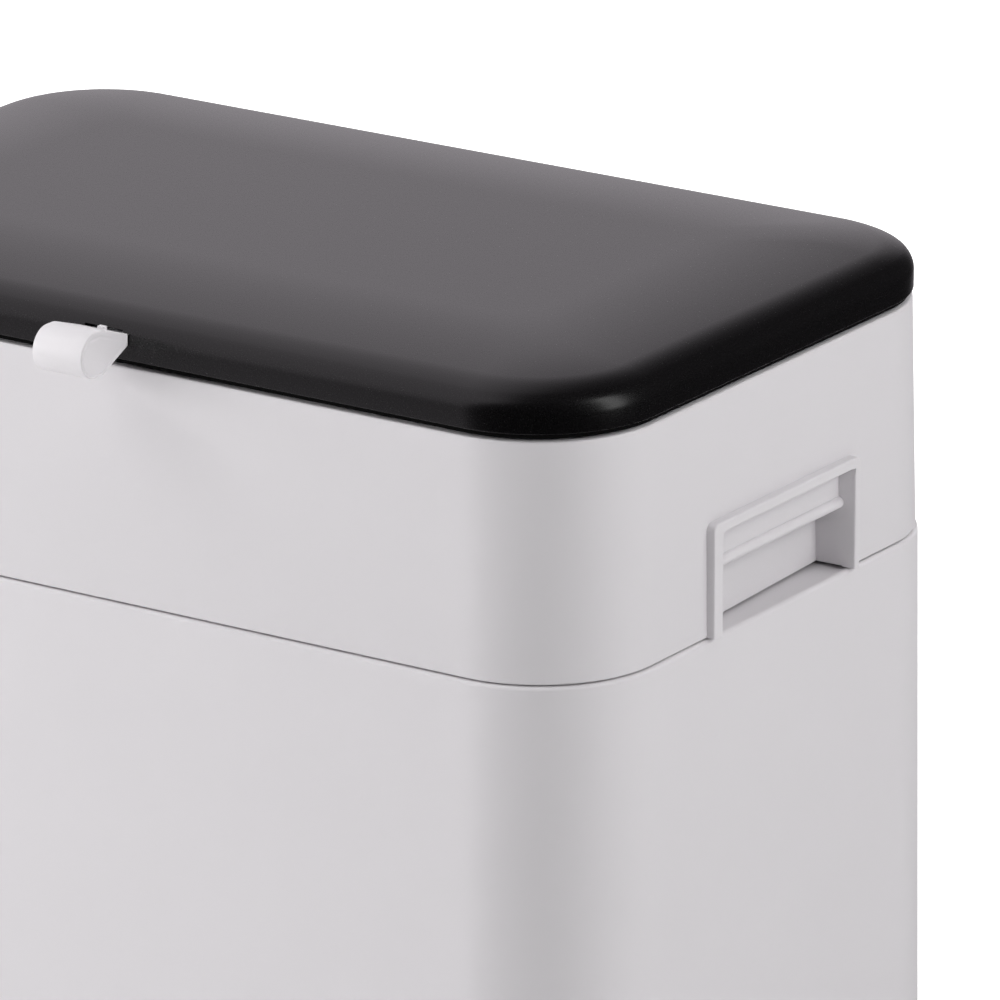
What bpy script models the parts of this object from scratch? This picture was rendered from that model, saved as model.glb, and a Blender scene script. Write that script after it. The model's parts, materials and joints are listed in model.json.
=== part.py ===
"""Kitchen bin with a lift-off upper frame, a hinged charcoal lid and a white lever latch.

Metres, +Z up. The front faces -Y. The pieces are modelled about the middle of the body's
outline, and one empty then carries them, so that the origin lies on the floor under the
middle of the whole bin, latch and hinges included. Most pieces are rounded rectangles
seen from above, so each is a section, a list of (inset from an outline, height) pairs,
carried round that outline.
"""

from math import acos, atan2, cos, degrees, hypot, pi, radians, sin, sqrt

import bmesh
import bpy

# Whole bin
BIN_WIDTH = 0.390
BIN_DEPTH = 0.250
CORNER_RADIUS = 0.046
PARTING_HEIGHT = 0.305
FIT_GAP = 0.0003
OVERRUN = 0.002
CORNER_STEPS = 8
ROUND_STEPS = 3
ROUND_MIDDLE_SHARE = 0.3
LEAST_RADIUS = 0.002

# Outer casing, the light grey lower body
CASING_WALL = 0.0024
CASING_FLARE = 0.0042
CASING_STAND = 0.002
LEDGE_WIDTH = 0.023
LEDGE_THICKNESS = 0.0024
RIM_ROUND = 0.0012
LOCATING_RIB_HEIGHT = 0.006
LOCATING_RIB_THICKNESS = 0.0016
LOCATING_RIB_GAP = 0.0004
BOSS_RADIUS = 0.0055
BOSS_HEIGHT = 0.030
BOSS_TO_WALL = 0.0045

# Base plate with its feet and screws
BASE_THICKNESS = 0.003
BASE_RIB_HEIGHT = 0.007
BASE_RIB_THICKNESS = 0.002
BASE_RIB_COUNT = 5
FOOT_RADIUS = 0.014
FOOT_STEPS = 32
FOOT_SOCKET_DEPTH = 0.0012
FOOT_FROM_SIDE = 0.048
FOOT_FROM_FRONT = 0.040
SCREW_SHANK_RADIUS = 0.0016
SCREW_HEAD_RADIUS = 0.0034
SCREW_HEAD_HEIGHT = 0.002
SCREW_CROWN_SHARE = 0.8
SCREW_LENGTH = 0.012
SCREW_SINK = 0.0012

# Inner bucket
BUCKET_WALL = 0.0018
BUCKET_RIM_GAP = 0.0008
BUCKET_RIM_WIDTH = 0.0095
BUCKET_RIM_HEIGHT = 0.010
BUCKET_TAPER = 0.008
BUCKET_FLOOR_ROUND = 0.009
BUCKET_ROUND_STEPS = 4
BUCKET_FLOOR_CLEARANCE = 0.002

# Upper frame, the collar that hides the bag
FRAME_INSET = 0.002
FRAME_DRAFT = 0.0008
FRAME_TOP_CORNER = 0.0026
FRAME_HEIGHT = 0.085
FRAME_WALL = 0.0022
FRAME_TOP_ROUND = 0.0008
FLANGE_WIDTH = 0.018
FLANGE_THICKNESS = 0.0022

# Carrying handles in the frame's sides
HANDLE_WIDTH = 0.091
HANDLE_HEIGHT = 0.0406
HANDLE_SET_BACK = 0.0012
BORDER_PROUD = 0.0048
BORDER_WIDTH = 0.0038
BORDER_CORNER = 0.003
PANEL_RECESS = 0.0025
PANEL_THICKNESS = 0.0022
POCKET_DEPTH = 0.0116
POCKET_WALL = 0.0022
POCKET_ROOF = 0.0048
POCKET_FOOT_GAP = 0.0006
BEAD_RADIUS = 0.0021
BEAD_HEIGHT = 0.0237
BEAD_STEPS = 8

# Lid shell
LID_OVERHANG = 0.0003
LID_GAP = 0.0014
LID_WALL = 0.0022
SKIRT_HEIGHT = 0.007
SKIRT_CHAMFER = 0.0004
LID_EDGE_RADIUS = 0.0079
LID_EDGE_SLOPE = 26
LID_EDGE_STEPS = 6
SHOULDER_RADIUS = 0.0295
SHOULDER_SLOPE = 8.2
SHOULDER_STEPS = 3
CROWN_RADIUS = 0.350
CROWN_STEPS = 3
LID_BOSS_RADIUS = 0.004
LID_BOSS_X = 0.120
LID_BOSS_Y = 0.072

# Lid inner panel and seal, both measured inwards from the frame's outline
PANEL_EDGE = 0.0122
PANEL_PLATE = 0.002
CHANNEL_RIB = 0.0011
CHANNEL_GAP = 0.0003
CHANNEL_SHARE = 0.7
SEAL_WIDTH = 0.003
SEAL_HEIGHT = 0.0031
RIM_CLEARANCE = 0.0006
LOCATING_RIM_WALL = 0.0016
LOCATING_RIM_DEPTH = 0.0045

# Hinges at the back
HINGE_X = 0.110
HINGE_BACK = 0.006
HINGE_RISE = 0.002
KNUCKLE_RADIUS = 0.005
KNUCKLE_WIDTH = 0.022
EAR_THICKNESS = 0.005
EAR_GAP = 0.0005
EAR_ROOT_DROP = 0.020
HINGE_PIN_RADIUS = 0.002
PIN_STEPS = 16
KNUCKLE_STEPS = 20

# Latch at the front
LATCH_WIDTH = 0.019
DRUM_RADIUS = 0.0078
DRUM_FORWARD = 0.0198
DRUM_RISE = 0.0088
DRUM_LENGTHENING = 0.003
DRUM_STEPS = 11
LATCH_TIP_GAP = 0.0005
LATCH_TIP_LOW = 0.0076
LATCH_TIP_HEIGHT = 0.0041
GROOVE_INSET = 0.0012
GROOVE_WIDTH = 0.0005
GROOVE_DEPTH = 0.0006
NUB_WIDTH = 0.0037
NUB_LENGTH = 0.0022
NUB_HEIGHT = 0.0018

# Latch lever inside the lid
PIVOT_INSET = 0.008
PIVOT_RISE = 0.008
BARREL_RADIUS = 0.003
BARREL_WIDTH = 0.0152
ARM_WIDTH = 0.015
ARM_THICKNESS = 0.002
ARM_RISE = 0.0002
ARM_REACH = 0.0125
LATCH_PIN_RADIUS = 0.00125
LATCH_EAR_THICKNESS = 0.0024
LATCH_EAR_RADIUS = 0.0036
HOOK_WIDTH = 0.010
HOOK_THICKNESS = 0.0024
BARB_REACH = 0.0022
BARB_HEIGHT = 0.0021
WINDOW_WIDTH = 0.014
WINDOW_FRONT = 0.0032
WINDOW_BACK = 0.0097
SKIRT_WINDOW_CLEARANCE = 0.0006
SKIRT_WINDOW_HEIGHT = 0.0044
SKIRT_WINDOW_DEPTH = 0.0042

# Latch spring
SPRING_WIRE_RADIUS = 0.00035
SPRING_COIL_RADIUS = 0.0022
SPRING_TURNS = 3
SPRING_PITCH = 0.0012
SPRING_SLOT_WIDTH = 0.0062
SPRING_POINTS_PER_TURN = 12
SPRING_LEG = 0.0045
SPRING_LEG_RISE = 0.001

# Places worked out from the sizes above
FRAME_BOTTOM = PARTING_HEIGHT
FRAME_TOP = PARTING_HEIGHT + FRAME_HEIGHT
LEDGE_TOP = PARTING_HEIGHT - FIT_GAP
FRAME_SIDE = BIN_WIDTH / 2 - FRAME_INSET
FRAME_FRONT = -(BIN_DEPTH / 2 - FRAME_INSET)
FRAME_BACK = BIN_DEPTH / 2 - FRAME_INSET
LID_BOTTOM = FRAME_TOP + LID_GAP
LID_FRONT = FRAME_FRONT - LID_OVERHANG
LID_BACK = FRAME_BACK + LID_OVERHANG
LID_SPRINGING = LID_BOTTOM + SKIRT_HEIGHT
PANEL_BOTTOM = FRAME_TOP + FIT_GAP + SEAL_HEIGHT + FIT_GAP
PANEL_TOP = PANEL_BOTTOM + PANEL_PLATE
HINGE_Y = FRAME_BACK + HINGE_BACK
HINGE_Z = FRAME_TOP + HINGE_RISE
PIVOT_Y = FRAME_FRONT + PIVOT_INSET
PIVOT_Z = FRAME_TOP + PIVOT_RISE
DRUM_Y = FRAME_FRONT - DRUM_FORWARD
DRUM_Z = FRAME_TOP + DRUM_RISE
TIP_Y = LID_FRONT - LATCH_TIP_GAP
ARM_LOW = PIVOT_Z + ARM_RISE
ARM_TOP = ARM_LOW + ARM_THICKNESS
ARM_FRONT = TIP_Y - ARM_REACH
HANDLE_BOTTOM = FRAME_BOTTOM + POCKET_FOOT_GAP
FRONT_REACH = DRUM_Y - DRUM_RADIUS
BACK_REACH = HINGE_Y + KNUCKLE_RADIUS
BODY_SET_BACK = -(FRONT_REACH + BACK_REACH) / 2


def rounded_outline(inset, frame_inset=0.0, corner_gain=0.0):
    """Points of the bin's outline moved inwards, counter-clockwise from above.

    The corners' radius grows by corner_gain without moving the straight sides.
    """
    total = inset + frame_inset
    half_x = BIN_WIDTH / 2 - total
    half_y = BIN_DEPTH / 2 - total
    radius = max(CORNER_RADIUS + corner_gain - total, LEAST_RADIUS)
    points = []
    for side_x, side_y, start in ((1, -1, -90), (1, 1, 0), (-1, 1, 90), (-1, -1, 180)):
        centre_x = side_x * (half_x - radius)
        centre_y = side_y * (half_y - radius)
        for step in range(CORNER_STEPS + 1):
            angle = radians(start + 90 * step / CORNER_STEPS)
            points.append((centre_x + radius * cos(angle), centre_y + radius * sin(angle)))
    return points


def arc(centre, radius, start, end, steps):
    """Points along an arc, in degrees, both ends included."""
    angles = [radians(start + (end - start) * step / steps) for step in range(steps + 1)]
    return [(centre[0] + radius * cos(a), centre[1] + radius * sin(a)) for a in angles]


def mesh_object(name, mesh_builder):
    """A linked object whose mesh is filled by mesh_builder(bm)."""
    bm = bmesh.new()
    mesh_builder(bm)
    bmesh.ops.recalc_face_normals(bm, faces=bm.faces)
    mesh = bpy.data.meshes.new(name)
    bm.to_mesh(mesh)
    bm.free()
    made = bpy.data.objects.new(name, mesh)
    bpy.context.scene.collection.objects.link(made)
    return made


def corner_gain_at(z):
    """How much rounder the corners are at a height: the frame's grow to its top, and the lid keeps that."""
    share = min(max((z - FRAME_BOTTOM) / FRAME_HEIGHT, 0.0), 1.0)
    return FRAME_TOP_CORNER * share


def wall_draft_at(z):
    """How far the frame's drafted wall stands outside its top outline at a height."""
    share = min(max((FRAME_TOP - z) / FRAME_HEIGHT, 0.0), 1.0)
    return FRAME_DRAFT * share


def carried_section(name, section, outline_inset=0.0, closed=False):
    """A section of (inset, z) pairs carried round the bin's outline.

    A closed section makes a ring. An open one makes a cup, whose first and last
    rings are filled with flat caps.
    """

    def build(bm):
        rings = []
        for inset, z in section:
            points = rounded_outline(inset, outline_inset, corner_gain_at(z))
            rings.append([bm.verts.new((x, y, z)) for x, y in points])
        pairs = list(zip(rings, rings[1:]))
        if closed:
            pairs.append((rings[-1], rings[0]))
        for lower, upper in pairs:
            for i, vert in enumerate(lower):
                j = (i + 1) % len(lower)
                bm.faces.new((vert, lower[j], upper[j], upper[i]))
        if not closed:
            bm.faces.new(rings[0])
            bm.faces.new(rings[-1])

    return mesh_object(name, build)


def prism(name, profile, start, end, axis):
    """A flat profile extruded along X, Y or Z from start to end."""
    places = {
        "X": lambda p, t: (t, p[0], p[1]),
        "Y": lambda p, t: (p[0], t, p[1]),
        "Z": lambda p, t: (p[0], p[1], t),
    }

    def build(bm):
        low = [bm.verts.new(places[axis](p, start)) for p in profile]
        high = [bm.verts.new(places[axis](p, end)) for p in profile]
        bm.faces.new(low)
        bm.faces.new(high)
        for i in range(len(profile)):
            j = (i + 1) % len(profile)
            bm.faces.new((low[i], low[j], high[j], high[i]))

    return mesh_object(name, build)


def box(name, low, high):
    """A box between two corners."""
    profile = [(low[0], low[1]), (high[0], low[1]), (high[0], high[1]), (low[0], high[1])]
    return prism(name, profile, low[2], high[2], "Z")


def rod(name, centre, radius, start, end, axis, steps=PIN_STEPS):
    """A round bar along an axis, centred on a point of the plane across it."""
    circle = arc(centre, radius, 0, 360, steps)[:-1]
    return prism(name, circle, start, end, axis)


def boolean(target, tool, operation):
    """Adds a Boolean to the target and turns the tool into a hidden helper."""
    modifier = target.modifiers.new(tool.name, "BOOLEAN")
    modifier.operation = operation
    modifier.solver = "EXACT"
    modifier.object = tool
    tool.hide_render = True
    tool.display_type = "WIRE"


def cut(target, tool):
    boolean(target, tool, "DIFFERENCE")


def fuse(target, tool):
    boolean(target, tool, "UNION")


def joined(name, pieces):
    """One object from several solids that stay apart."""
    bm = bmesh.new()
    for piece in pieces:
        bm.from_mesh(piece.data)
        bpy.data.objects.remove(piece)
    mesh = bpy.data.meshes.new(name)
    bm.to_mesh(mesh)
    bm.free()
    made = bpy.data.objects.new(name, mesh)
    bpy.context.scene.collection.objects.link(made)
    return made


def set_origin(piece, origin):
    """Moves an object's origin without moving its shape."""
    for vert in piece.data.vertices:
        vert.co = [a - b for a, b in zip(vert.co, origin)]
    piece.location = origin


def finish(piece, colour, roughness, metallic=0.0, smooth_angle=30):
    """Gives a piece its material and smooths its round faces."""
    material = bpy.data.materials.new(piece.name)
    material.use_nodes = True
    shader = material.node_tree.nodes["Principled BSDF"]
    shader.inputs["Base Color"].default_value = (*colour, 1.0)
    shader.inputs["Roughness"].default_value = roughness
    shader.inputs["Metallic"].default_value = metallic
    piece.data.materials.append(material)
    piece.data.shade_smooth()
    piece.data.set_sharp_from_angle(angle=radians(smooth_angle))


LIGHT_GREY = (0.60, 0.59, 0.61)
MID_GREY = (0.32, 0.32, 0.33)
CHARCOAL = (0.030, 0.030, 0.032)
WHITE = (0.82, 0.82, 0.82)
RUBBER = (0.02, 0.02, 0.02)
STEEL = (0.62, 0.62, 0.63)


def corner_places(from_side, from_front):
    """The four corners' points, at these distances in from the casing's top outline."""
    x = BIN_WIDTH / 2 - from_side
    y = BIN_DEPTH / 2 - from_front
    return {
        "front_left": (-x, -y),
        "front_right": (x, -y),
        "back_left": (-x, y),
        "back_right": (x, y),
    }


def boss_places():
    """The casing's screw bosses, set into the rounded corners of its wall."""
    inner_radius = CORNER_RADIUS + CASING_FLARE - CASING_WALL
    reach = (inner_radius - BOSS_TO_WALL) / sqrt(2)
    inwards = CORNER_RADIUS - reach
    return corner_places(inwards, inwards)


def casing():
    """The lower body: an upright sleeve with a ledge that carries the bucket and the frame."""
    rim = arc((0.0, LEDGE_TOP - RIM_ROUND), RIM_ROUND, 0, 90, ROUND_STEPS)
    section = [
        (-CASING_FLARE, CASING_STAND),
        *[(RIM_ROUND - x, z) for x, z in rim],
        (LEDGE_WIDTH, LEDGE_TOP),
        (LEDGE_WIDTH, LEDGE_TOP - LEDGE_THICKNESS),
        (CASING_WALL, LEDGE_TOP - LEDGE_THICKNESS),
        (CASING_WALL - CASING_FLARE, CASING_STAND),
    ]
    body = carried_section("lower_body", section, closed=True)
    rib_out = FRAME_INSET - FRAME_DRAFT + FRAME_WALL + LOCATING_RIB_GAP
    rib_in = rib_out + LOCATING_RIB_THICKNESS
    rib_low = LEDGE_TOP - LEDGE_THICKNESS / 2
    rib_top = LEDGE_TOP + LOCATING_RIB_HEIGHT
    rib_section = [(rib_out, rib_low), (rib_out, rib_top), (rib_in, rib_top), (rib_in, rib_low)]
    rib = carried_section("locating_rib", rib_section, closed=True)
    half = HANDLE_WIDTH / 2 + POCKET_WALL + OVERRUN
    gap_reach = BIN_WIDTH / 2 + OVERRUN
    cut(rib, box("rib_gap", (-gap_reach, HANDLE_SET_BACK - half, LEDGE_TOP - LEDGE_THICKNESS),
                 (gap_reach, HANDLE_SET_BACK + half, rib_top + OVERRUN)))
    fuse(body, rib)
    boss_low = CASING_STAND + BASE_THICKNESS + FIT_GAP
    bosses = [
        rod(f"boss_{name}", place, BOSS_RADIUS, boss_low, boss_low + BOSS_HEIGHT, "Z")
        for name, place in boss_places().items()
    ]
    fuse(body, joined("casing_bosses", bosses))
    bores = [
        rod(f"boss_bore_{name}", place, SCREW_SHANK_RADIUS + FIT_GAP, boss_low - OVERRUN,
            boss_low + SCREW_LENGTH, "Z")
        for name, place in boss_places().items()
    ]
    cut(body, joined("casing_bores", bores))
    finish(body, LIGHT_GREY, 0.5)


def foot_places():
    return corner_places(FOOT_FROM_SIDE, FOOT_FROM_FRONT)


def base_plate():
    """The floor of the casing, ribbed on top, with sockets for the feet below."""
    edge = CASING_WALL - CASING_FLARE + FIT_GAP
    section = [(edge, CASING_STAND), (edge, CASING_STAND + BASE_THICKNESS)]
    plate = carried_section("base_plate", section)
    rib_low = CASING_STAND + BASE_THICKNESS / 2
    rib_top = CASING_STAND + BASE_THICKNESS + BASE_RIB_HEIGHT
    rib_half = BASE_RIB_THICKNESS / 2
    reach_x = BIN_WIDTH / 2 - CORNER_RADIUS
    reach_y = BIN_DEPTH / 2 - CORNER_RADIUS / 2
    fuse(plate, box("base_rib_long", (-reach_x, -rib_half, rib_low), (reach_x, rib_half, rib_top)))
    for index in range(BASE_RIB_COUNT):
        x = reach_x * (2 * index / (BASE_RIB_COUNT - 1) - 1)
        rib = box(f"base_rib_{index}", (x - rib_half, -reach_y, rib_low), (x + rib_half, reach_y, rib_top))
        fuse(plate, rib)
    sockets = [
        rod(f"socket_{name}", place, FOOT_RADIUS + FIT_GAP, CASING_STAND - OVERRUN,
            CASING_STAND + FOOT_SOCKET_DEPTH, "Z", FOOT_STEPS)
        for name, place in foot_places().items()
    ]
    cut(plate, joined("foot_sockets", sockets))
    holes = [
        rod(f"screw_hole_{name}", place, SCREW_SHANK_RADIUS + FIT_GAP, 0.0,
            CASING_STAND + BASE_THICKNESS + OVERRUN, "Z")
        for name, place in boss_places().items()
    ]
    cut(plate, joined("base_screw_holes", holes))
    sinks = [
        rod(f"screw_sink_{name}", place, SCREW_HEAD_RADIUS + FIT_GAP, 0.0, CASING_STAND + SCREW_SINK, "Z")
        for name, place in boss_places().items()
    ]
    cut(plate, joined("base_screw_sinks", sinks))
    finish(plate, MID_GREY, 0.6)


def feet():
    """Four soft pads that stand the bin clear of the floor."""
    top = CASING_STAND + FOOT_SOCKET_DEPTH - FIT_GAP
    for name, place in foot_places().items():
        pad = rod(f"foot_{name}", place, FOOT_RADIUS, 0.0, top, "Z", FOOT_STEPS)
        finish(pad, RUBBER, 0.8)


def screw(name, place, seat):
    """A pan-head screw driven upwards, its head just below the seat."""
    head_top = seat - FIT_GAP
    head_low = head_top - SCREW_HEAD_HEIGHT
    radii = [SCREW_HEAD_RADIUS * SCREW_CROWN_SHARE, SCREW_HEAD_RADIUS, SCREW_HEAD_RADIUS,
             SCREW_SHANK_RADIUS, SCREW_SHANK_RADIUS]
    heights = [head_low, head_low + SCREW_HEAD_HEIGHT / 3, head_top, head_top,
               head_top + SCREW_LENGTH - FIT_GAP]

    def build(bm):
        rings = []
        for radius, z in zip(radii, heights):
            circle = arc(place, radius, 0, 360, PIN_STEPS)[:-1]
            rings.append([bm.verts.new((x, y, z)) for x, y in circle])
        for lower, upper in zip(rings, rings[1:]):
            for i, vert in enumerate(lower):
                j = (i + 1) % len(lower)
                bm.faces.new((vert, lower[j], upper[j], upper[i]))
        bm.faces.new(rings[0])
        bm.faces.new(rings[-1])

    return mesh_object(name, build)


def base_screws():
    """Four screws that hold the base plate; their heads stay off the floor."""
    seat = CASING_STAND + SCREW_SINK
    for name, place in boss_places().items():
        finish(screw(f"base_screw_{name}", place, seat), STEEL, 0.35, metallic=1.0)


def bucket_rim_inset():
    """How far the bucket's rim lies inside the casing's outline: just inside the pockets."""
    return FRAME_INSET + POCKET_DEPTH + POCKET_WALL + BUCKET_RIM_GAP


def inner_bucket():
    """The bucket that hangs by its rolled rim on the casing's ledge."""
    rim_out = bucket_rim_inset()
    rim_in = rim_out + BUCKET_RIM_WIDTH
    wall_out = rim_in - BUCKET_WALL
    rim_low = LEDGE_TOP + FIT_GAP
    rim_top = rim_low + BUCKET_RIM_HEIGHT
    roll = BUCKET_WALL
    middle = roll * ROUND_MIDDLE_SHARE
    floor_low = CASING_STAND + BASE_THICKNESS + BASE_RIB_HEIGHT + BUCKET_FLOOR_CLEARANCE
    floor_top = floor_low + BUCKET_WALL
    foot_out = wall_out + BUCKET_TAPER
    foot_in = foot_out + BUCKET_WALL
    outer_round = BUCKET_FLOOR_ROUND
    inner_round = BUCKET_FLOOR_ROUND - BUCKET_WALL
    section = [
        *[(foot_out + outer_round - x, floor_low + outer_round - z)
          for x, z in arc((0.0, 0.0), outer_round, 90, 0, BUCKET_ROUND_STEPS)],
        (wall_out, rim_top - BUCKET_WALL),
        (rim_out + BUCKET_WALL, rim_top - BUCKET_WALL),
        (rim_out + BUCKET_WALL, rim_low),
        (rim_out, rim_low),
        (rim_out, rim_top - roll),
        (rim_out + middle, rim_top - middle),
        (rim_out + roll, rim_top),
        (rim_in - roll, rim_top),
        (rim_in - middle, rim_top - middle),
        (rim_in, rim_top - roll),
        *[(foot_in + inner_round - x, floor_top + inner_round - z)
          for x, z in arc((0.0, 0.0), inner_round, 0, 90, BUCKET_ROUND_STEPS)],
    ]
    bucket = carried_section("inner_bucket", section)
    finish(bucket, MID_GREY, 0.45)


def handle_block(side):
    """The raised border and the pocket box behind it, both still solid."""
    half = HANDLE_WIDTH / 2
    low, high = HANDLE_SET_BACK - half, HANDLE_SET_BACK + half
    top = FRAME_BOTTOM + HANDLE_HEIGHT
    corner = BORDER_CORNER
    profile = [
        (low, FRAME_BOTTOM), (high, FRAME_BOTTOM),
        *arc((high - corner, top - corner), corner, 0, 90, ROUND_STEPS),
        *arc((low + corner, top - corner), corner, 90, 180, ROUND_STEPS),
    ]
    inside = FRAME_SIDE - FRAME_WALL / 2
    outside = FRAME_SIDE + BORDER_PROUD
    border = prism(f"border_{side}", profile, side * inside, side * outside, "X")
    back = FRAME_SIDE - POCKET_DEPTH - POCKET_WALL
    recess_half = half - BORDER_WIDTH + POCKET_WALL
    pocket = box(
        f"pocket_{side}",
        (min(side * back, side * inside), HANDLE_SET_BACK - recess_half, FRAME_BOTTOM),
        (max(side * back, side * inside), HANDLE_SET_BACK + recess_half, top),
    )
    return border, pocket


def recess_cutter(side):
    """The hollow of one handle, which leaves the grip panel and its bead standing."""
    face = FRAME_SIDE - PANEL_RECESS
    back_of_panel = face - PANEL_THICKNESS
    back_wall = FRAME_SIDE - POCKET_DEPTH
    outside = FRAME_SIDE + BORDER_PROUD + OVERRUN
    lintel = FRAME_BOTTOM + HANDLE_HEIGHT - BORDER_WIDTH
    roof = FRAME_BOTTOM + HANDLE_HEIGHT - POCKET_ROOF
    bead = (face, FRAME_BOTTOM + BEAD_HEIGHT)
    round_bead = arc(bead, BEAD_RADIUS, 85, -90, BEAD_STEPS)
    profile = [
        (outside, FRAME_BOTTOM - OVERRUN),
        (outside, lintel),
        (face, lintel),
        *round_bead,
        (back_of_panel, bead[1] - BEAD_RADIUS / 2),
        (back_of_panel, roof),
        (back_wall, roof),
        (back_wall, FRAME_BOTTOM - OVERRUN),
    ]
    half = HANDLE_WIDTH / 2 - BORDER_WIDTH
    points = [(side * x, z) for x, z in profile]
    return prism(f"recess_{side}", points, HANDLE_SET_BACK - half, HANDLE_SET_BACK + half, "Y")


def foot_gap_cutter(side):
    """Lifts the pocket's inner walls a little off the ledge, as the dark line in its foot shows."""
    back = FRAME_SIDE - POCKET_DEPTH - POCKET_WALL - OVERRUN
    front = FRAME_SIDE - FRAME_WALL / 2
    half = HANDLE_WIDTH / 2 + OVERRUN
    return box(
        f"pocket_foot_{side}",
        (min(side * back, side * front), HANDLE_SET_BACK - half, FRAME_BOTTOM - OVERRUN),
        (max(side * back, side * front), HANDLE_SET_BACK + half, HANDLE_BOTTOM),
    )


def hinge_ear_profile():
    """Side view of a frame ear: a ring round the hinge axis on a gusset down the back wall."""
    axis = (HINGE_Y, HINGE_Z)
    root = FRAME_BACK - FRAME_WALL / 2
    return [
        (root, FRAME_TOP - EAR_ROOT_DROP),
        *arc(axis, KNUCKLE_RADIUS, -30, 180, KNUCKLE_STEPS),
        (HINGE_Y - KNUCKLE_RADIUS, FRAME_TOP - FRAME_TOP_ROUND),
        (root, FRAME_TOP - FRAME_TOP_ROUND * 2),
    ]


def ear_spans():
    """(start, end) in X of the four frame ears, two round each lid knuckle."""
    near = KNUCKLE_WIDTH / 2 + EAR_GAP
    far = near + EAR_THICKNESS
    spans = []
    for centre in (-HINGE_X, HINGE_X):
        spans += [(centre - far, centre - near), (centre + near, centre + far)]
    return spans


def upper_frame():
    """The lift-off frame: wall, top flange, two carrying handles, hinge ears and hook window."""
    middle = FRAME_TOP_ROUND * ROUND_MIDDLE_SHARE
    under_flange = FRAME_TOP - FLANGE_THICKNESS
    section = [
        (-FRAME_DRAFT, FRAME_BOTTOM),
        (0.0, FRAME_TOP - FRAME_TOP_ROUND),
        (middle, FRAME_TOP - middle),
        (FRAME_TOP_ROUND, FRAME_TOP),
        (FLANGE_WIDTH, FRAME_TOP),
        (FLANGE_WIDTH, under_flange),
        (FRAME_WALL - wall_draft_at(under_flange), under_flange),
        (FRAME_WALL - FRAME_DRAFT, FRAME_BOTTOM),
    ]
    frame = carried_section("upper_frame", section, FRAME_INSET, closed=True)
    for side in (1, -1):
        border, pocket = handle_block(side)
        fuse(frame, border)
        fuse(frame, pocket)
    for side in (1, -1):
        cut(frame, recess_cutter(side))
        cut(frame, foot_gap_cutter(side))
    for index, (start, end) in enumerate(ear_spans()):
        fuse(frame, prism(f"hinge_ear_{index}", hinge_ear_profile(), start, end, "X"))
    reach = HINGE_X + KNUCKLE_WIDTH
    cut(frame, rod("frame_pin_bore", (HINGE_Y, HINGE_Z), HINGE_PIN_RADIUS + FIT_GAP, -reach, reach, "X"))
    cut(frame, box(
        "hook_window",
        (-WINDOW_WIDTH / 2, FRAME_FRONT + WINDOW_FRONT, FRAME_TOP - FLANGE_THICKNESS - OVERRUN),
        (WINDOW_WIDTH / 2, FRAME_FRONT + WINDOW_BACK, FRAME_TOP + OVERRUN),
    ))
    finish(frame, LIGHT_GREY, 0.5)


def hinge_pins():
    """One steel pin through each pair of ears and the knuckle between them."""
    half = KNUCKLE_WIDTH / 2 + EAR_GAP + EAR_THICKNESS
    for name, centre in (("left", -HINGE_X), ("right", HINGE_X)):
        start, end = centre - half, centre + half
        pin = rod(f"hinge_pin_{name}", (HINGE_Y, HINGE_Z), HINGE_PIN_RADIUS, start, end, "X")
        set_origin(pin, (centre, HINGE_Y, HINGE_Z))
        finish(pin, STEEL, 0.3, metallic=1.0)


def lid_top_section(thickness):
    """(inset, z) pairs from the skirt's foot to the crown, moved inwards by a thickness.

    Three arcs follow each other without a kink: the tight edge, the shoulder and the
    wide crown. Each starts at the slope where the last one ended.
    """
    points = [(thickness, LID_BOTTOM)]
    centre = (LID_EDGE_RADIUS, LID_SPRINGING)
    last_radius, start = LID_EDGE_RADIUS, 90
    for radius, end, steps in (
        (LID_EDGE_RADIUS, LID_EDGE_SLOPE, LID_EDGE_STEPS),
        (SHOULDER_RADIUS, SHOULDER_SLOPE, SHOULDER_STEPS),
        (CROWN_RADIUS, 0, CROWN_STEPS),
    ):
        step_back = last_radius - radius
        centre = (centre[0] - step_back * sin(radians(start)), centre[1] + step_back * cos(radians(start)))
        bow = arc(centre, radius - thickness, 90 + start, 90 + end, steps)
        points += bow if start == 90 else bow[1:]
        last_radius, start = radius, end
    return points


def lid_height(inset):
    """Height of the lid's outer skin at an inset from the lid's outline."""
    section = lid_top_section(0.0)
    for (near, low), (far, high) in zip(section, section[1:]):
        if near < far and near <= inset <= far:
            return low + (high - low) * (inset - near) / (far - near)
    return section[-1][1]


def tangent_angle(place, radius, side):
    """Degrees on the drum's rear circle where a line from a place above or below touches it."""
    away = (place[0] - DRUM_Y - DRUM_LENGTHENING, place[1] - DRUM_Z)
    return degrees(atan2(away[1], away[0]) + side * acos(radius / hypot(*away)))


def latch_profile(shrink):
    """Side view of the latch, (y, z), moved inwards by shrink: a drum a little longer than high,
    and two straight lines that touch it and meet the flat tip."""
    radius = DRUM_RADIUS - shrink
    tip_y = TIP_Y - shrink
    tip_low = (tip_y, FRAME_TOP + LATCH_TIP_LOW + shrink / 2)
    tip_high = (tip_y, FRAME_TOP + LATCH_TIP_LOW + LATCH_TIP_HEIGHT - shrink)
    rear = (DRUM_Y + DRUM_LENGTHENING, DRUM_Z)
    return [
        tip_low,
        tip_high,
        *arc(rear, radius, tangent_angle(tip_high, radius, 1), 90, 1),
        *arc((DRUM_Y, DRUM_Z), radius, 90, 270, DRUM_STEPS * 2),
        *arc(rear, radius, -90, tangent_angle(tip_low, radius, -1), 2),
    ]


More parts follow.
